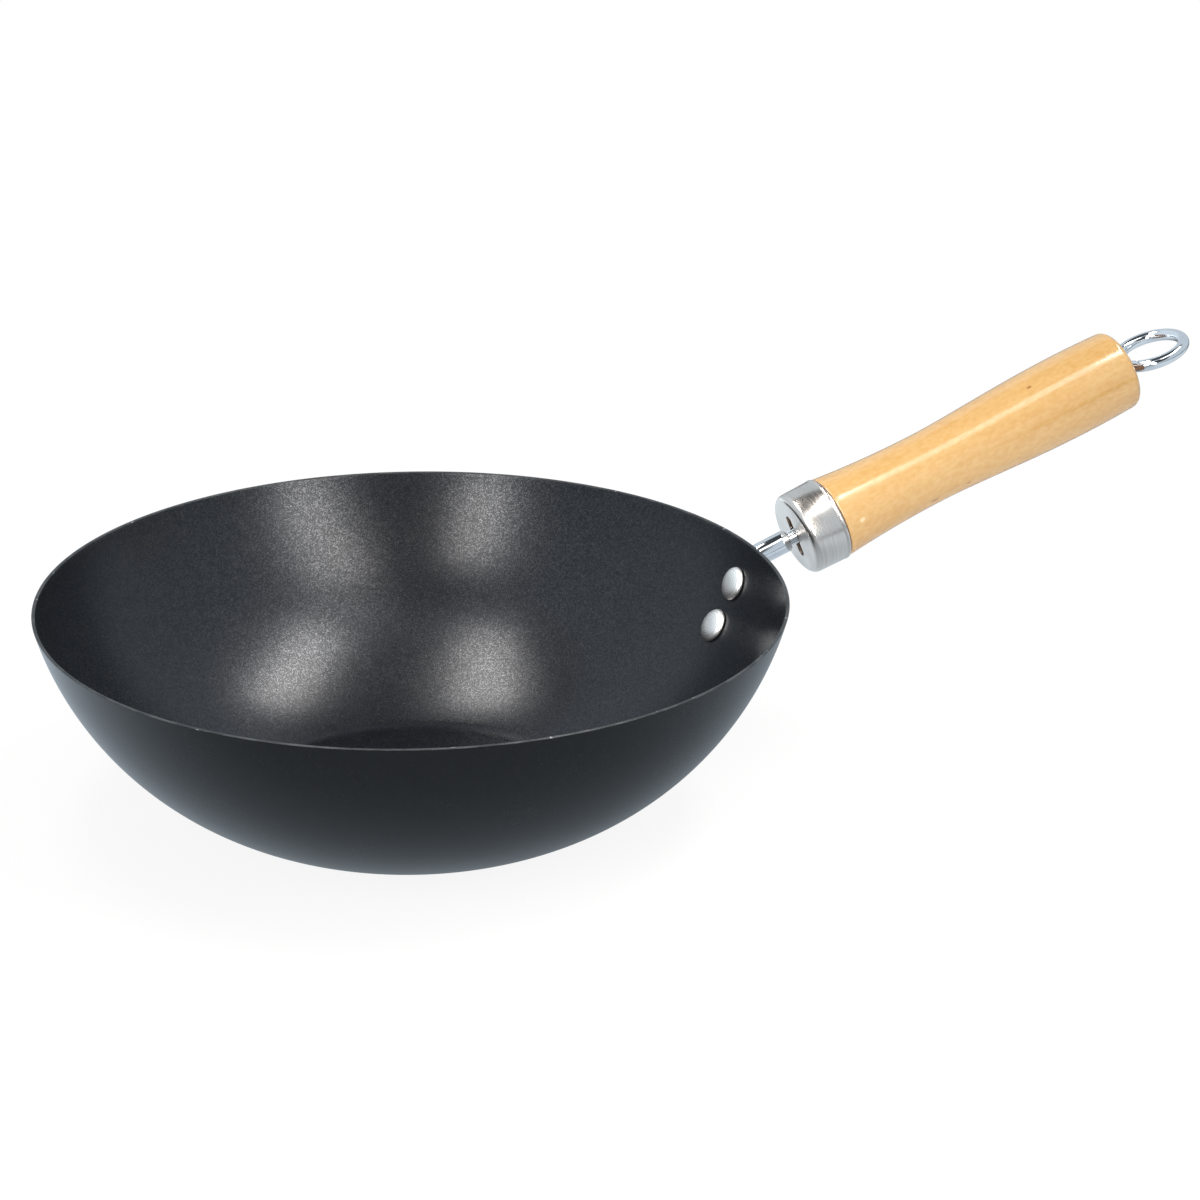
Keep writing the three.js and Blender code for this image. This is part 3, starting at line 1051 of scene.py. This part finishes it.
@dataclass(frozen=True)
class RivetShape:
    """Sizes of one rivet and its hole."""

    stem: float = 4.8
    head: float = 12.6
    head_height: float = 2.6
    head_edge: float = 0.45
    head_chamfer: float = 0.1
    tail: float = 9.6
    tail_height: float = 2.2
    tail_flat_share: float = 0.5
    tail_round_share: float = 0.62
    tail_edge: float = 0.6
    clearance: float = 0.3
    head_gap: float = 0.55
    seat_gap: float = 0.3
    hole_below: float = 7.0
    hole_above: float = 4.0
    dome_steps: int = 18
    tail_steps: int = 8
    segments: int = 72

    def hole(self, place: Matrix) -> bpy.types.Object:
        """A cutter for the rivet's hole at the rivet's matrix."""
        return plug(self.stem / 2 + self.clearance, -self.hole_below, self.hole_above, place)

    def build(self, node: str, place: Matrix, grip: float) -> bpy.types.Object:
        """Makes the rivet.

        Args:
            node: The CAD node's name.
            place: The rivet's matrix.
            grip: The thickness between head and tail, gaps left out.

        Returns:
            The rivet.
        """
        seat = -(grip + 2 * self.seat_gap)
        low = seat - self.tail_height
        stem, tail, head = self.stem / 2, self.tail / 2, self.head / 2
        profile = [(0.0, low), (tail * self.tail_flat_share, low)]
        before = Vector((tail * self.tail_round_share, low))
        after = Vector((tail, seat - self.tail_edge))
        profile += eased_corner(before, Vector((tail, low)), after, self.tail_steps)
        profile += [(tail, seat), (stem, seat), (stem, self.head_gap)]
        profile.append((head - self.head_chamfer, self.head_gap))
        profile.append((head, self.head_gap + self.head_chamfer))
        for i in range(self.dome_steps):
            angle = math.pi / 2 * i / self.dome_steps
            rise = (1 - math.cos(angle) ** 3) ** 0.7
            lift = self.head_edge + (self.head_height - self.head_edge) * rise
            profile.append((head * math.cos(angle), self.head_gap + lift))
        profile.append((0.0, self.head_gap + self.head_height))
        return new_object(f"{node}_look", revolved(profile, self.segments).mesh(node), place)


@dataclass
class BowlAssembly:
    """The pressed bowl with the two rivets that hold the shank."""

    shape: BowlShape
    rivet: RivetShape
    paddle_thickness: float
    drops: tuple[float, float] = (15.1, 30.5)
    base_ring_share: float = 0.5
    segments: int = 288
    wall_steps: int = 72
    knuckle_steps: int = 14

    def build(self) -> list[bpy.types.Object]:
        """Makes the pieces.

        Returns:
            Bowl, upper rivet and lower rivet.
        """
        shape = self.shape
        inner_end = shape.inner_angle(0.0)
        outer = self._face(0.0, shape.rim_slope)
        inner = self._face(shape.sheet, inner_end)
        edge = self._rim(Vector(outer.pop()), Vector(inner.pop()), inner_end)
        profile = outer + edge + inner[::-1]
        marks = [0] * len(outer) + [1] * (len(edge) - 1) + [2] * len(inner)
        skin = revolved(profile, self.segments, marks)
        bowl = new_object("wok_bowl_look", skin.mesh("wok_bowl"), Matrix())
        pieces = [bowl]
        for node, drop in zip(("upper_rivet", "lower_rivet"), self.drops):
            place = shape.rivet_place(drop)
            combine(bowl, self.rivet.hole(place), Cut.REMOVE)
            pieces.append(self.rivet.build(node, place, shape.sheet + self.paddle_thickness))
        return pieces

    def _face(self, depth: float, rim_angle: float) -> Profile:
        """One face of the sheet from the axis to the rim.

        Args:
            depth: Its depth in the sheet, 0 on the outside.
            rim_angle: Its angle at the rim.

        Returns:
            The profile of base, knuckle and wall.
        """
        shape = self.shape
        turn = shape.knuckle_angle
        points = [(0.0, depth), (shape.base_radius * self.base_ring_share, depth)]
        points += arc(shape.knuckle_centre, shape.knuckle_radius - depth, 0, turn, self.knuckle_steps)[:-1]
        points += arc(shape.wall_centre, shape.wall_radius - depth, turn, rim_angle, self.wall_steps)
        return points

    def _rim(self, outside: Vector, inside: Vector, inner_slope: float) -> Profile:
        """The rim's cut edge with its two eased corners.

        Args:
            outside: The outer corner.
            inside: The inner corner.
            inner_slope: The inner face's slope.

        Returns:
            The profile from the outer to the inner face.
        """
        ease = self.shape.rim_ease
        slope = self.shape.rim_slope
        up_outer = Vector((math.cos(slope), math.sin(slope)))
        up_inner = Vector((math.cos(inner_slope), math.sin(inner_slope)))
        across = Vector((1.0, 0.0))
        first = eased_corner(outside - up_outer * ease, outside, outside - across * ease)
        second = eased_corner(inside + across * ease, inside, inside - up_inner * ease)
        return first + second

    def dress(self, pieces: Sequence[bpy.types.Object]) -> None:
        """Gives the pieces their finishes.

        Args:
            pieces: What build returned.
        """
        bowl, upper, lower = pieces
        coats = [OutsideFinish().make(), CutEdgeFinish().make(), CoatingFinish().make()]
        metal = [RivetFinish().make()]
        settle(bowl, "wok_bowl", Body.WOK, coats)
        settle(upper, "upper_rivet", Body.WOK, metal)
        settle(lower, "lower_rivet", Body.WOK, metal)


@dataclass
class Shank:
    """The plated rod with its flattened paddle, bent neck and tapped end."""

    bowl: BowlShape
    line: HandleLine
    rivet: RivetShape
    drops: tuple[float, float]
    rod: float = 8.4
    rod_end: float = 17.2
    chamfer: float = 0.7
    chamfer_lean: float = 0.25
    paddle_width: float = 18.0
    paddle_thickness: float = 3.0
    paddle_edge: float = 1.2
    end_margin: float = 9.0
    bend_radius: float = 10.0
    tap_radius: float = 3.1
    tap_depth: float = 11.5
    seat_gap: float = 0.3
    quadrant_steps: int = 16
    tip_steps: int = 14
    tip_offset: float = 0.4
    wall_steps: int = 24
    neck_steps: int = 40

    @property
    def wall_radius(self) -> float:
        """The radius of the paddle's middle about the wall's centre."""
        return self.bowl.wall_radius + self.seat_gap + self.paddle_thickness / 2

    @property
    def bend_centre(self) -> Vector:
        """The centre of the neck's bend, seen from the wall's centre."""
        centre = self.bowl.wall_centre
        axis = self.line.direction
        offset = self.line.start - self.line.normal * self.bend_radius - Vector((centre[0], 0, centre[1]))
        along = offset.dot(axis)
        reach = (self.wall_radius + self.bend_radius) ** 2
        return offset + axis * (math.sqrt(along ** 2 - offset.length_squared + reach) - along)

    def _section(
        self,
        x: float,
        z: float,
        slope: float,
        half: tuple[float, float],
        corner: float,
        azimuth: float = 0.0,
    ) -> list[Vector]:
        """One ring of the shank's skin, a rectangle with round corners.

        Args:
            x: Its middle along X.
            z: Its middle along Z.
            slope: The slope of the shank there.
            half: Half its width and half its height.
            corner: The radius of its corners.
            azimuth: Its turn about the bowl's axis.

        Returns:
            The points in order.
        """
        turn = Matrix.Rotation(azimuth, 3, "Z")
        width, height = half
        corner = min(corner, width, height)
        points = []
        for number, (across, lift) in enumerate(((1, 1), (-1, 1), (-1, -1), (1, -1))):
            for i in range(self.quadrant_steps):
                angle = (number + (i + 0.5) / self.quadrant_steps) * math.pi / 2
                y = across * (width - corner) + corner * math.cos(angle)
                h = lift * (height - corner) + corner * math.sin(angle)
                points.append(turn @ Vector((x - h * math.sin(slope), y, z + h * math.cos(slope))))
        return points

    def _paddle(self, end: float) -> list[list[Vector]]:
        """The paddle on the wall, from its round tip up to the neck.

        Args:
            end: The wall's angle where the neck starts.

        Returns:
            The rings in order.
        """
        radius, half = self.wall_radius, self.paddle_width / 2
        tip = self.bowl.inner_angle(self.drops[1]) - self.end_margin / radius
        body = tip + half / radius
        places = []
        for i in range(self.tip_steps):
            turn = (i + self.tip_offset) / self.tip_steps * math.pi / 2
            places.append((tip + (1 - math.cos(turn)) * half / radius, half * math.sin(turn)))
        for i in range(self.wall_steps + 1):
            places.append((body + (end - body) * i / self.wall_steps, half))
        centre = self.bowl.wall_centre
        azimuth = math.radians(self.bowl.rivet_azimuth_deg)
        rings = []
        for angle, width in places:
            x = centre[0] + radius * math.sin(angle)
            z = centre[1] - radius * math.cos(angle)
            size = (width, self.paddle_thickness / 2)
            rings.append(self._section(x, z, angle, size, self.paddle_edge, azimuth))
        return rings

    def _neck(self, bend: Vector, start: float) -> list[list[Vector]]:
        """The bent neck, where the flat section turns into a round one.

        Args:
            bend: The centre of the bend, seen from the wall's centre.
            start: The slope at the paddle.

        Returns:
            The rings in order.
        """
        half_width, half_thick, rod = self.paddle_width / 2, self.paddle_thickness / 2, self.rod / 2
        centre = self.bowl.wall_centre
        azimuth = math.radians(self.bowl.rivet_azimuth_deg)
        rings = []
        for i in range(1, self.neck_steps + 1):
            part = i / self.neck_steps
            slope = start + (self.line.rise - start) * part
            x = centre[0] + bend.x - self.bend_radius * math.sin(slope)
            z = centre[1] + bend.z + self.bend_radius * math.cos(slope)
            smooth = part * part * (3 - 2 * part)
            width = half_width + (rod - half_width) * smooth
            height = half_thick + (rod - half_thick) * part * part
            corner = self.paddle_edge + (rod - self.paddle_edge) * part
            rings.append(self._section(x, z, slope, (width, height), corner, azimuth * (1 - smooth)))
        return rings

    def _rod(self) -> list[list[Vector]]:
        """The round rod's eased end and its tapped hole.

        Returns:
            The rings in order, the last one at the bottom of the hole.
        """
        rod, end = self.rod / 2, self.rod_end
        before = Vector((rod, end - self.chamfer))
        corner = Vector((rod - self.chamfer * self.chamfer_lean, end))
        places = eased_corner(before, corner, Vector((rod - self.chamfer, end)))
        places += [(self.tap_radius, end), (self.tap_radius, end - self.tap_depth)]
        rings = []
        for size, along in places:
            point = self.line.start + self.line.direction * along
            rings.append(self._section(point.x, point.z, self.line.rise, (size, size), size))
        return rings

    def build(self) -> bpy.types.Object:
        """Makes the shank.

        Returns:
            The shank.
        """
        bend = self.bend_centre
        start = math.atan2(bend.x, -bend.z)
        sections = self._paddle(start) + self._neck(bend, start) + self._rod()
        skin = Skin()
        first = skin.ring([sum(sections[0], Vector()) / len(sections[0])])
        rings = [skin.ring(points) for points in sections]
        last = skin.ring([sum(sections[-1], Vector()) / len(sections[-1])])
        skin.join([first, *rings, last])
        shank = new_object("handle_shank_look", skin.mesh("handle_shank"), Matrix())
        for drop in self.drops:
            combine(shank, self.rivet.hole(self.bowl.rivet_place(drop)), Cut.REMOVE)
        return shank

    def dress(self, piece: bpy.types.Object) -> None:
        """Gives the shank, which build returned, its plating."""
        settle(piece, "handle_shank", Body.WOK, [PlatedFinish("plated_rod").make()])


@dataclass
class Ferrule:
    """The drawn cup between shank and grip."""

    line: HandleLine
    front: float = 20.7
    length: float = 14.65
    front_diameter: float = 31.7
    rear_diameter: float = 32.2
    sheet: float = 0.8
    edge: float = 2.6
    face_ring_share: float = 0.8
    groove_depth: float = 0.16
    groove_start: float = 0.6
    groove_middle: float = 0.3
    groove_end: float = 0.05
    lip_height: float = 0.14
    lip_length: float = 1.0
    slot_length: float = 16.4
    slot_width: float = 4.0
    slot_roll_deg: float = -12.0
    hole_radius: float = 3.4
    cut_margin: float = 1.0
    edge_steps: int = 14
    inner_edge_steps: int = 8
    lip_steps: int = 8
    slot_steps: int = 24
    segments: int = 160

    @property
    def rear(self) -> float:
        """The rear edge's distance along the axis."""
        return self.front + self.length

    def build(self) -> bpy.types.Object:
        """Makes the ferrule.

        Returns:
            The ferrule.
        """
        front, rear = self.front_diameter / 2, self.rear_diameter / 2
        centre = (front - self.edge, self.front + self.edge)
        profile = [(0.0, self.front), (centre[0] * self.face_ring_share, self.front)]
        profile += arc(centre, self.edge, 0, math.pi / 2, self.edge_steps)
        lip = self.rear - self.lip_length
        profile.append((rear, lip - self.groove_start))
        profile.append((rear - self.groove_depth, lip - self.groove_middle))
        profile.append((rear, lip - self.groove_end))
        bead = self.lip_length / 2
        for i in range(self.lip_steps + 1):
            angle = math.pi * i / self.lip_steps
            lift = self.lip_height * math.sin(angle)
            profile.append((rear + lift, self.rear - bead - bead * math.cos(angle)))
        profile.append((rear - self.sheet, self.rear))
        profile += arc(centre, self.edge - self.sheet, math.pi / 2, 0, self.inner_edge_steps)
        profile.append((0.0, self.front + self.sheet))
        skin = revolved(profile, self.segments)
        cup = new_object("ferrule_look", skin.mesh("ferrule"), self.line.matrix)
        low, high = self.front - self.cut_margin, self.front + self.sheet + self.cut_margin
        combine(cup, self._slot(low, high), Cut.REMOVE)
        combine(cup, plug(self.hole_radius, low, high, self.line.matrix), Cut.REMOVE)
        return cup

    def _slot(self, low: float, high: float) -> bpy.types.Object:
        """A cutter for the slot in the face.

        Args:
            low: Its front end along the axis.
            high: Its rear end along the axis.

        Returns:
            The cutter.
        """
        radius = self.slot_width / 2
        straight = self.slot_length / 2 - radius
        outline = []
        for side in (1, -1):
            for i in range(self.slot_steps + 1):
                angle = -math.pi / 2 + math.pi * i / self.slot_steps
                x = side * (straight + radius * math.cos(angle))
                outline.append((x, side * radius * math.sin(angle)))
        skin = Skin()
        chain = [skin.ring([(0, 0, low)])]
        chain += [skin.ring([(x, y, z) for x, y in outline]) for z in (low, high)]
        chain.append(skin.ring([(0, 0, high)]))
        skin.join(chain)
        roll = Matrix.Rotation(math.radians(self.slot_roll_deg), 4, "Z")
        return new_object("slot", skin.mesh("slot"), self.line.matrix @ roll)

    def dress(self, piece: bpy.types.Object) -> None:
        """Gives the ferrule, which build returned, its metal."""
        settle(piece, "ferrule", Body.WOK, [FerruleFinish().make()])


@dataclass
class Grip:
    """The turned wooden grip with its spigot and its bore."""

    line: HandleLine
    ferrule: Ferrule
    front_diameter: float = 31.5
    waist_diameter: float = 27.4
    waist_at: float = 79.0
    swell_diameter: float = 32.1
    swell_at: float = 145.0
    end_diameter: float = 31.2
    end_at: float = 167.2
    end_round: float = 2.6
    front_round: float = 0.8
    swell_bias: float = 0.85
    bore: float = 6.3
    bore_chamfer: float = 0.4
    seat_gap: float = 0.3
    spigot_steps: int = 8
    waist_steps: int = 28
    swell_steps: int = 36
    end_steps: int = 12
    segments: int = 128

    def _outline(self) -> Profile:
        """The outside from the shoulder at the ferrule to the end face.

        Returns:
            The profile.
        """
        shoulder = self.ferrule.rear + self.seat_gap
        first, waist = self.front_diameter / 2, self.waist_diameter / 2
        swell, last = self.swell_diameter / 2, self.end_diameter / 2
        start, end = shoulder + self.front_round, self.end_at - self.end_round
        before = Vector((first - self.front_round, shoulder))
        points = eased_corner(before, Vector((first, shoulder)), Vector((first, start)))[:-1]
        for i in range(self.waist_steps):
            part = i / self.waist_steps
            radius = waist + (first - waist) * (1 - part) ** 2
            points.append((radius, start + (self.waist_at - start) * part))
        for i in range(self.swell_steps):
            part = i / self.swell_steps
            rise = (1 - math.cos(math.pi * part ** self.swell_bias)) / 2
            along = self.waist_at + (self.swell_at - self.waist_at) * part
            points.append((waist + (swell - waist) * rise, along))
        for i in range(self.end_steps):
            part = i / self.end_steps
            radius = swell + (last - swell) * part ** 2
            points.append((radius, self.swell_at + (end - self.swell_at) * part))
        centre = (last - self.end_round, end)
        return points + arc(centre, self.end_round, math.pi / 2, math.pi, self.end_steps)

    def build(self) -> bpy.types.Object:
        """Makes the grip.

        Returns:
            The grip.
        """
        cup = self.ferrule
        bore, chamfer = self.bore / 2, self.bore_chamfer
        spigot = cup.front_diameter / 2 - cup.sheet - self.seat_gap
        front = cup.front + cup.sheet + self.seat_gap
        corner = (spigot - cup.edge, front + cup.edge)
        profile = [(bore, front)]
        profile += arc(corner, cup.edge, 0, math.pi / 2, self.spigot_steps)
        profile.append((spigot, cup.rear + self.seat_gap))
        profile += self._outline()
        profile += [(bore + chamfer, self.end_at), (bore, self.end_at - chamfer), (bore, front)]
        skin = revolved(profile, self.segments)
        return new_object("wood_grip_look", skin.mesh("wood_grip"), self.line.matrix)

    def dress(self, piece: bpy.types.Object) -> None:
        """Gives the grip, which build returned, its wood."""
        settle(piece, "wood_grip", Body.WOK, [WoodFinish().make()])


@dataclass
class EyeBolt:
    """The threaded rod with the ring that the wok hangs by."""

    line: HandleLine
    ring_at: float = 182.65
    tip: float = 6.7
    tip_chamfer: float = 0.6
    thread: float = 5.6
    thread_length: float = 30.0
    pitch: float = 0.8
    thread_depth: float = 0.6
    flank_slope: float = 3.2
    root_share: float = 0.3
    wire: float = 4.5
    ring_radius: float = 12.9
    side_offset: float = 1.3
    roll_deg: float = -4.0
    shown_from: float = 13.0
    shown_to: float = 25.0
    pitch_steps: int = 10
    ring_steps: int = 144
    segments: int = 48

    def _thread_radius(self, along: float, angle: float) -> float:
        """The radius of the length whose thread is cut in full.

        Args:
            along: The distance along the axis.
            angle: The angle about the axis.

        Returns:
            The radius there.
        """
        ends = min(along - self.shown_from, self.shown_to - along) / self.pitch
        fade = max(0.0, min(1.0, ends))
        phase = (along / self.pitch - angle / math.tau) % 1.0
        ridge = max(0.0, min(1.0, self.flank_slope * abs(phase - 0.5) - self.root_share))
        return self.thread / 2 - self.thread_depth * fade * (1 - ridge)

    def _thread_ring(self, along: float) -> list[Triple]:
        """One ring of the cut thread.

        Args:
            along: The distance along the axis.

        Returns:
            The points in order.
        """
        turns = [math.tau * k / self.segments for k in range(self.segments)]
        radii = [self._thread_radius(along, t) for t in turns]
        return [(r * math.cos(t), r * math.sin(t), along) for r, t in zip(radii, turns)]

    def build(self) -> bpy.types.Object:
        """Makes the eye bolt.

        Returns:
            The eye bolt.
        """
        skin = Skin()
        outer, wire = self.thread / 2, self.wire / 2
        stem_end = self.ring_at - self.ring_radius
        small = outer - self.tip_chamfer
        chain = []
        for radius, along in ((0.0, self.tip), (small, self.tip), (outer, self.tip + self.tip_chamfer)):
            chain.append(skin.ring(circle(radius, along, self.segments)))
        shown = self.shown_to - self.shown_from
        steps = round(shown / (self.pitch / self.pitch_steps))
        for i in range(steps + 1):
            chain.append(skin.ring(self._thread_ring(self.shown_from + shown * i / steps)))
        end = self.tip + self.thread_length
        for radius, along in ((outer, end), (wire, end + outer - wire), (wire, stem_end), (0.0, stem_end)):
            chain.append(skin.ring(circle(radius, along, self.segments)))
        skin.join(chain)
        bolt = new_object("hanging_eye_look", skin.mesh("hanging_eye"), self.line.matrix)
        combine(bolt, self._ring(), Cut.JOIN)
        return bolt

    def _ring(self) -> bpy.types.Object:
        """The wire ring, a little to one side of the stem and rolled.

        Returns:
            The ring.
        """
        skin = Skin()
        roll = Matrix.Rotation(math.radians(self.roll_deg), 3, "Z")
        rings = []
        for i in range(self.ring_steps):
            turn = math.tau * i / self.ring_steps
            out = Vector((0, math.cos(turn), math.sin(turn)))
            middle = Vector((0, self.side_offset, self.ring_at)) + out * self.ring_radius
            section = []
            for k in range(self.segments):
                angle = math.tau * k / self.segments
                offset = out * math.cos(angle) + Vector((1, 0, 0)) * math.sin(angle)
                section.append(roll @ (middle + offset * (self.wire / 2)))
            rings.append(skin.ring(section))
        skin.join(rings + rings[:1])
        return new_object("ring", skin.mesh("ring"), self.line.matrix)

    def dress(self, piece: bpy.types.Object) -> None:
        """Gives the eye bolt, which build returned, its plating."""
        settle(piece, "hanging_eye", Body.EYE, [PlatedFinish("plated_wire").make()])


# Studio


def toward(azimuth_deg: float, elevation_deg: float) -> Vector:
    """A direction in the room.

    Args:
        azimuth_deg: 0 is the -Y side, and it grows towards +X.
        elevation_deg: The height over the floor.

    Returns:
        The direction, of length 1.
    """
    azimuth, elevation = math.radians(azimuth_deg), math.radians(elevation_deg)
    level = math.cos(elevation)
    return Vector((math.sin(azimuth) * level, -math.cos(azimuth) * level, math.sin(elevation)))


@dataclass(frozen=True)
class Softbox:
    """One soft lamp, aimed at the wok. Its sizes and its distance are in metres."""

    name: str
    azimuth_deg: float
    elevation_deg: float
    power: float
    width: float
    height: float
    roll_deg: float = 0.0
    distance: float = 1.2
    colour: Colour = (1.0, 0.985, 0.965)
    aim: Triple = (0.0, 0.0, 0.05)

    def place(self) -> None:
        """Puts the lamp into the scene."""
        away = toward(self.azimuth_deg, self.elevation_deg)
        data = bpy.data.lights.new(self.name, "AREA")
        data.shape = "RECTANGLE"
        data.size = self.width
        data.size_y = self.height
        data.energy = self.power
        data.color = self.colour
        lamp = bpy.data.objects.new(self.name, data)
        lamp.location = Vector(self.aim) + away * self.distance
        lamp.rotation_mode = "QUATERNION"
        roll = Quaternion((0, 0, 1), math.radians(self.roll_deg))
        lamp.rotation_quaternion = (-away).to_track_quat("-Z", "Y") @ roll
        bpy.context.scene.collection.objects.link(lamp)


@dataclass(frozen=True)
class Floor:
    """The white floor, with its own light in mirrored views. Lengths are in metres."""

    size: float = 14.0
    height: float = -0.0002
    colour: Colour = (0.92, 0.92, 0.92)
    white_share: float = 0.90
    mirrored: float = 0.36
    mirrored_aside: float = 0.40
    mirrored_behind: float = 0.60
    dimmed_behind_grip: float = 0.55
    mirror_tint: Colour = MIRROR_TINT
    far_front: Colour = (0.16, 0.16, 0.16)
    out_azimuth_deg: float = 64.8

    def build(self) -> None:
        """Makes the floor."""
        skin = Skin()
        half, height = self.size / 2 / MM, self.height / MM
        sides = ((-half, -half), (half, -half), (half, half), (-half, half))
        skin.faces.append(tuple(skin.ring([(x, y, height) for x, y in sides])))
        skin.marks.append(0)
        floor = new_object("floor", skin.mesh("floor"), Matrix())
        floor.data.materials.append(self._paper())

    def _paper(self) -> bpy.types.Material:
        """White to the camera but for the wok's shadow, and softly lit in mirrored views.

        Returns:
            The material.
        """
        graph = Surface("floor_white")
        camera = graph.node("ShaderNodeLightPath", {}, {}, "Is Camera Ray")
        glossy = camera.other("Is Glossy Ray")
        across = graph.length(graph.place())
        paper = graph.node("ShaderNodeBsdfDiffuse", {}, {"Color": (*self.colour, 1.0)})
        white = graph.node("ShaderNodeEmission", {}, {"Strength": 1.0})
        shown = camera * (self.white_share + (1 - self.white_share) * across.span(0.25, 0.55))
        seen = graph.node("ShaderNodeMixShader", {}, {"Fac": shown, 1: paper, 2: white})
        far = across.span(0.9, 1.2) * (1 - graph.axis("Y").span(-0.3, 0.3))
        tone = graph.blend(far, self.mirror_tint, self.far_front)
        level = self._mirrored_level(graph)
        lit = graph.node("ShaderNodeEmission", {}, {"Color": graph.scaled(tone, level)})
        mixed = graph.node("ShaderNodeMixShader", {}, {"Fac": glossy, 1: seen, 2: lit})
        graph.node("ShaderNodeOutputMaterial", {}, {"Surface": mixed})
        return graph.material

    def _mirrored_level(self, graph: Graph) -> Signal:
        """The floor's light in mirrored views, brighter to the sides and behind the bowl.

        Args:
            graph: The floor's node tree.

        Returns:
            The strength of the light.
        """
        behind = graph.axis("Y")
        right = graph.axis("X")
        aside = abs(graph.dot(graph.place(), toward(self.out_azimuth_deg, 0)))
        level = self.mirrored + self.mirrored_aside * aside.span(0.10, 0.40)
        level = level + self.mirrored_behind * behind.span(-0.15, 0.2) * (1 - right.span(0.15, 0.35))
        return level * (1 - self.dimmed_behind_grip * right.span(0.20, 0.40) * behind.span(0.0, 0.2))


@dataclass(frozen=True)
class Room:
    """The room's light: white to the camera, soft on the wok, walls and ceiling in mirrored views."""

    ambient: float = 0.28
    ambient_low: float = 0.35
    ambient_rise: float = 1.8
    backdrop: float = 0.82
    backdrop_right: float = 0.66
    front: float = 0.66
    gap: float = 0.06
    gap_azimuth_deg: float = -21.0
    gap_elevation_deg: float = 38.0
    ceiling: float = 0.06
    ceiling_lean: float = 0.18
    mirror_tint: Colour = MIRROR_TINT

    def build(self) -> None:
        """Makes the world."""
        world = bpy.data.worlds.new("studio")
        world.use_nodes = True
        bpy.context.scene.world = world
        graph = Graph(world.node_tree)
        camera = graph.node("ShaderNodeLightPath", {}, {}, "Is Camera Ray")
        glossy = camera.other("Is Glossy Ray")
        direction = graph.node("ShaderNodeTexCoord", {}, {}, "Generated")
        lift = graph.node("ShaderNodeSeparateXYZ", {}, {"Vector": direction}, "Z")
        soft = self.ambient * (self.ambient_low + self.ambient_rise * lift.span(0.0, 1.0))
        seen = glossy * self._mirrored(graph, direction, lift) + (1 - glossy) * soft
        strength = camera + (1 - camera) * seen
        tint = graph.blend(glossy, EVEN, self.mirror_tint)
        background = graph.node("ShaderNodeBackground", {}, {"Color": tint, "Strength": strength})
        graph.node("ShaderNodeOutputWorld", {}, {"Surface": background})

    def _mirrored(self, graph: Graph, direction: Signal, lift: Signal) -> Signal:
        """The walls and the dark ceiling, with a dark gap between the lamps at the front.

        Args:
            graph: The world's node tree.
            direction: The direction of the ray.
            lift: Its upward part.

        Returns:
            The strength of the light.
        """
        behind = lift.other("Y").span(-0.3, 0.1)
        right = lift.other("X").span(-0.35, 0.25)
        facing = graph.dot(direction, toward(self.gap_azimuth_deg, self.gap_elevation_deg))
        front = self.front + (self.gap - self.front) * facing.span(0.84, 0.96)
        back = self.backdrop + (self.backdrop_right - self.backdrop) * right
        wall = front + (back - front) * behind
        return wall + (self.ceiling - wall) * (lift + self.ceiling_lean * behind).span(0.94, 1.0)


@dataclass(frozen=True)
class Camera:
    """The camera at the photograph's viewing angle. Its place is in metres."""

    lens: float = 120.0
    place: Triple = (-0.50554, -1.23223, 0.60238)
    azimuth_deg: float = -25.2
    elevation_deg: float = 21.52
    clip_start: float = 0.05
    clip_end: float = 60.0

    def build(self) -> None:
        """Makes the camera and gives it to the scene."""
        back = toward(self.azimuth_deg, self.elevation_deg)
        data = bpy.data.cameras.new("camera")
        data.lens = self.lens
        data.clip_start = self.clip_start
        data.clip_end = self.clip_end
        camera = bpy.data.objects.new("camera", data)
        camera.location = self.place
        camera.rotation_mode = "QUATERNION"
        camera.rotation_quaternion = (-back).to_track_quat("-Z", "Y")
        bpy.context.scene.collection.objects.link(camera)
        bpy.context.scene.camera = camera


@dataclass
class Studio:
    """White floor and room, soft lamps and the camera."""

    floor: Floor = Floor()
    room: Room = Room()
    camera: Camera = Camera()
    lamps: tuple[Softbox, ...] = (
        Softbox("lamp_right", 17.0, 37.0, 0.93, 0.11, 0.31, distance=0.37),
        Softbox("lamp_left", -48.0, 29, 6.75, 0.30, 0.80),
        Softbox("lamp_over_right", 78.5, 63.5, 39.0, 1.79, 0.55, -17, distance=2.95),
        Softbox("lamp_over_left", -131, 74, 6.6, 0.72, 0.23, 8),
        Softbox("lamp_streak", 30, 64, 1.1, 0.60, 0.28),
    )

    def build(self) -> None:
        """Makes floor, room, lamps and camera."""
        self.floor.build()
        self.room.build()
        for lamp in self.lamps:
            lamp.place()
        self.camera.build()
        bpy.context.scene.view_settings.view_transform = "Standard"


def main() -> None:
    """Builds and dresses every piece, then the studio."""
    logging.basicConfig(level=logging.INFO, format="%(name)s %(message)s")
    bowl = BowlShape()
    line = HandleLine(Vector((bowl.rim_radius, 0.0, bowl.height - HandleLine.drop)))
    rivet = RivetShape()
    pan = BowlAssembly(bowl, rivet, Shank.paddle_thickness)
    shank = Shank(bowl, line, rivet, pan.drops)
    ferrule = Ferrule(line)
    grip = Grip(line, ferrule)
    eye = EyeBolt(line)
    for part in (pan, shank, ferrule, grip, eye):
        part.dress(part.build())
    Studio().build()


if __name__ == "__main__":
    main()
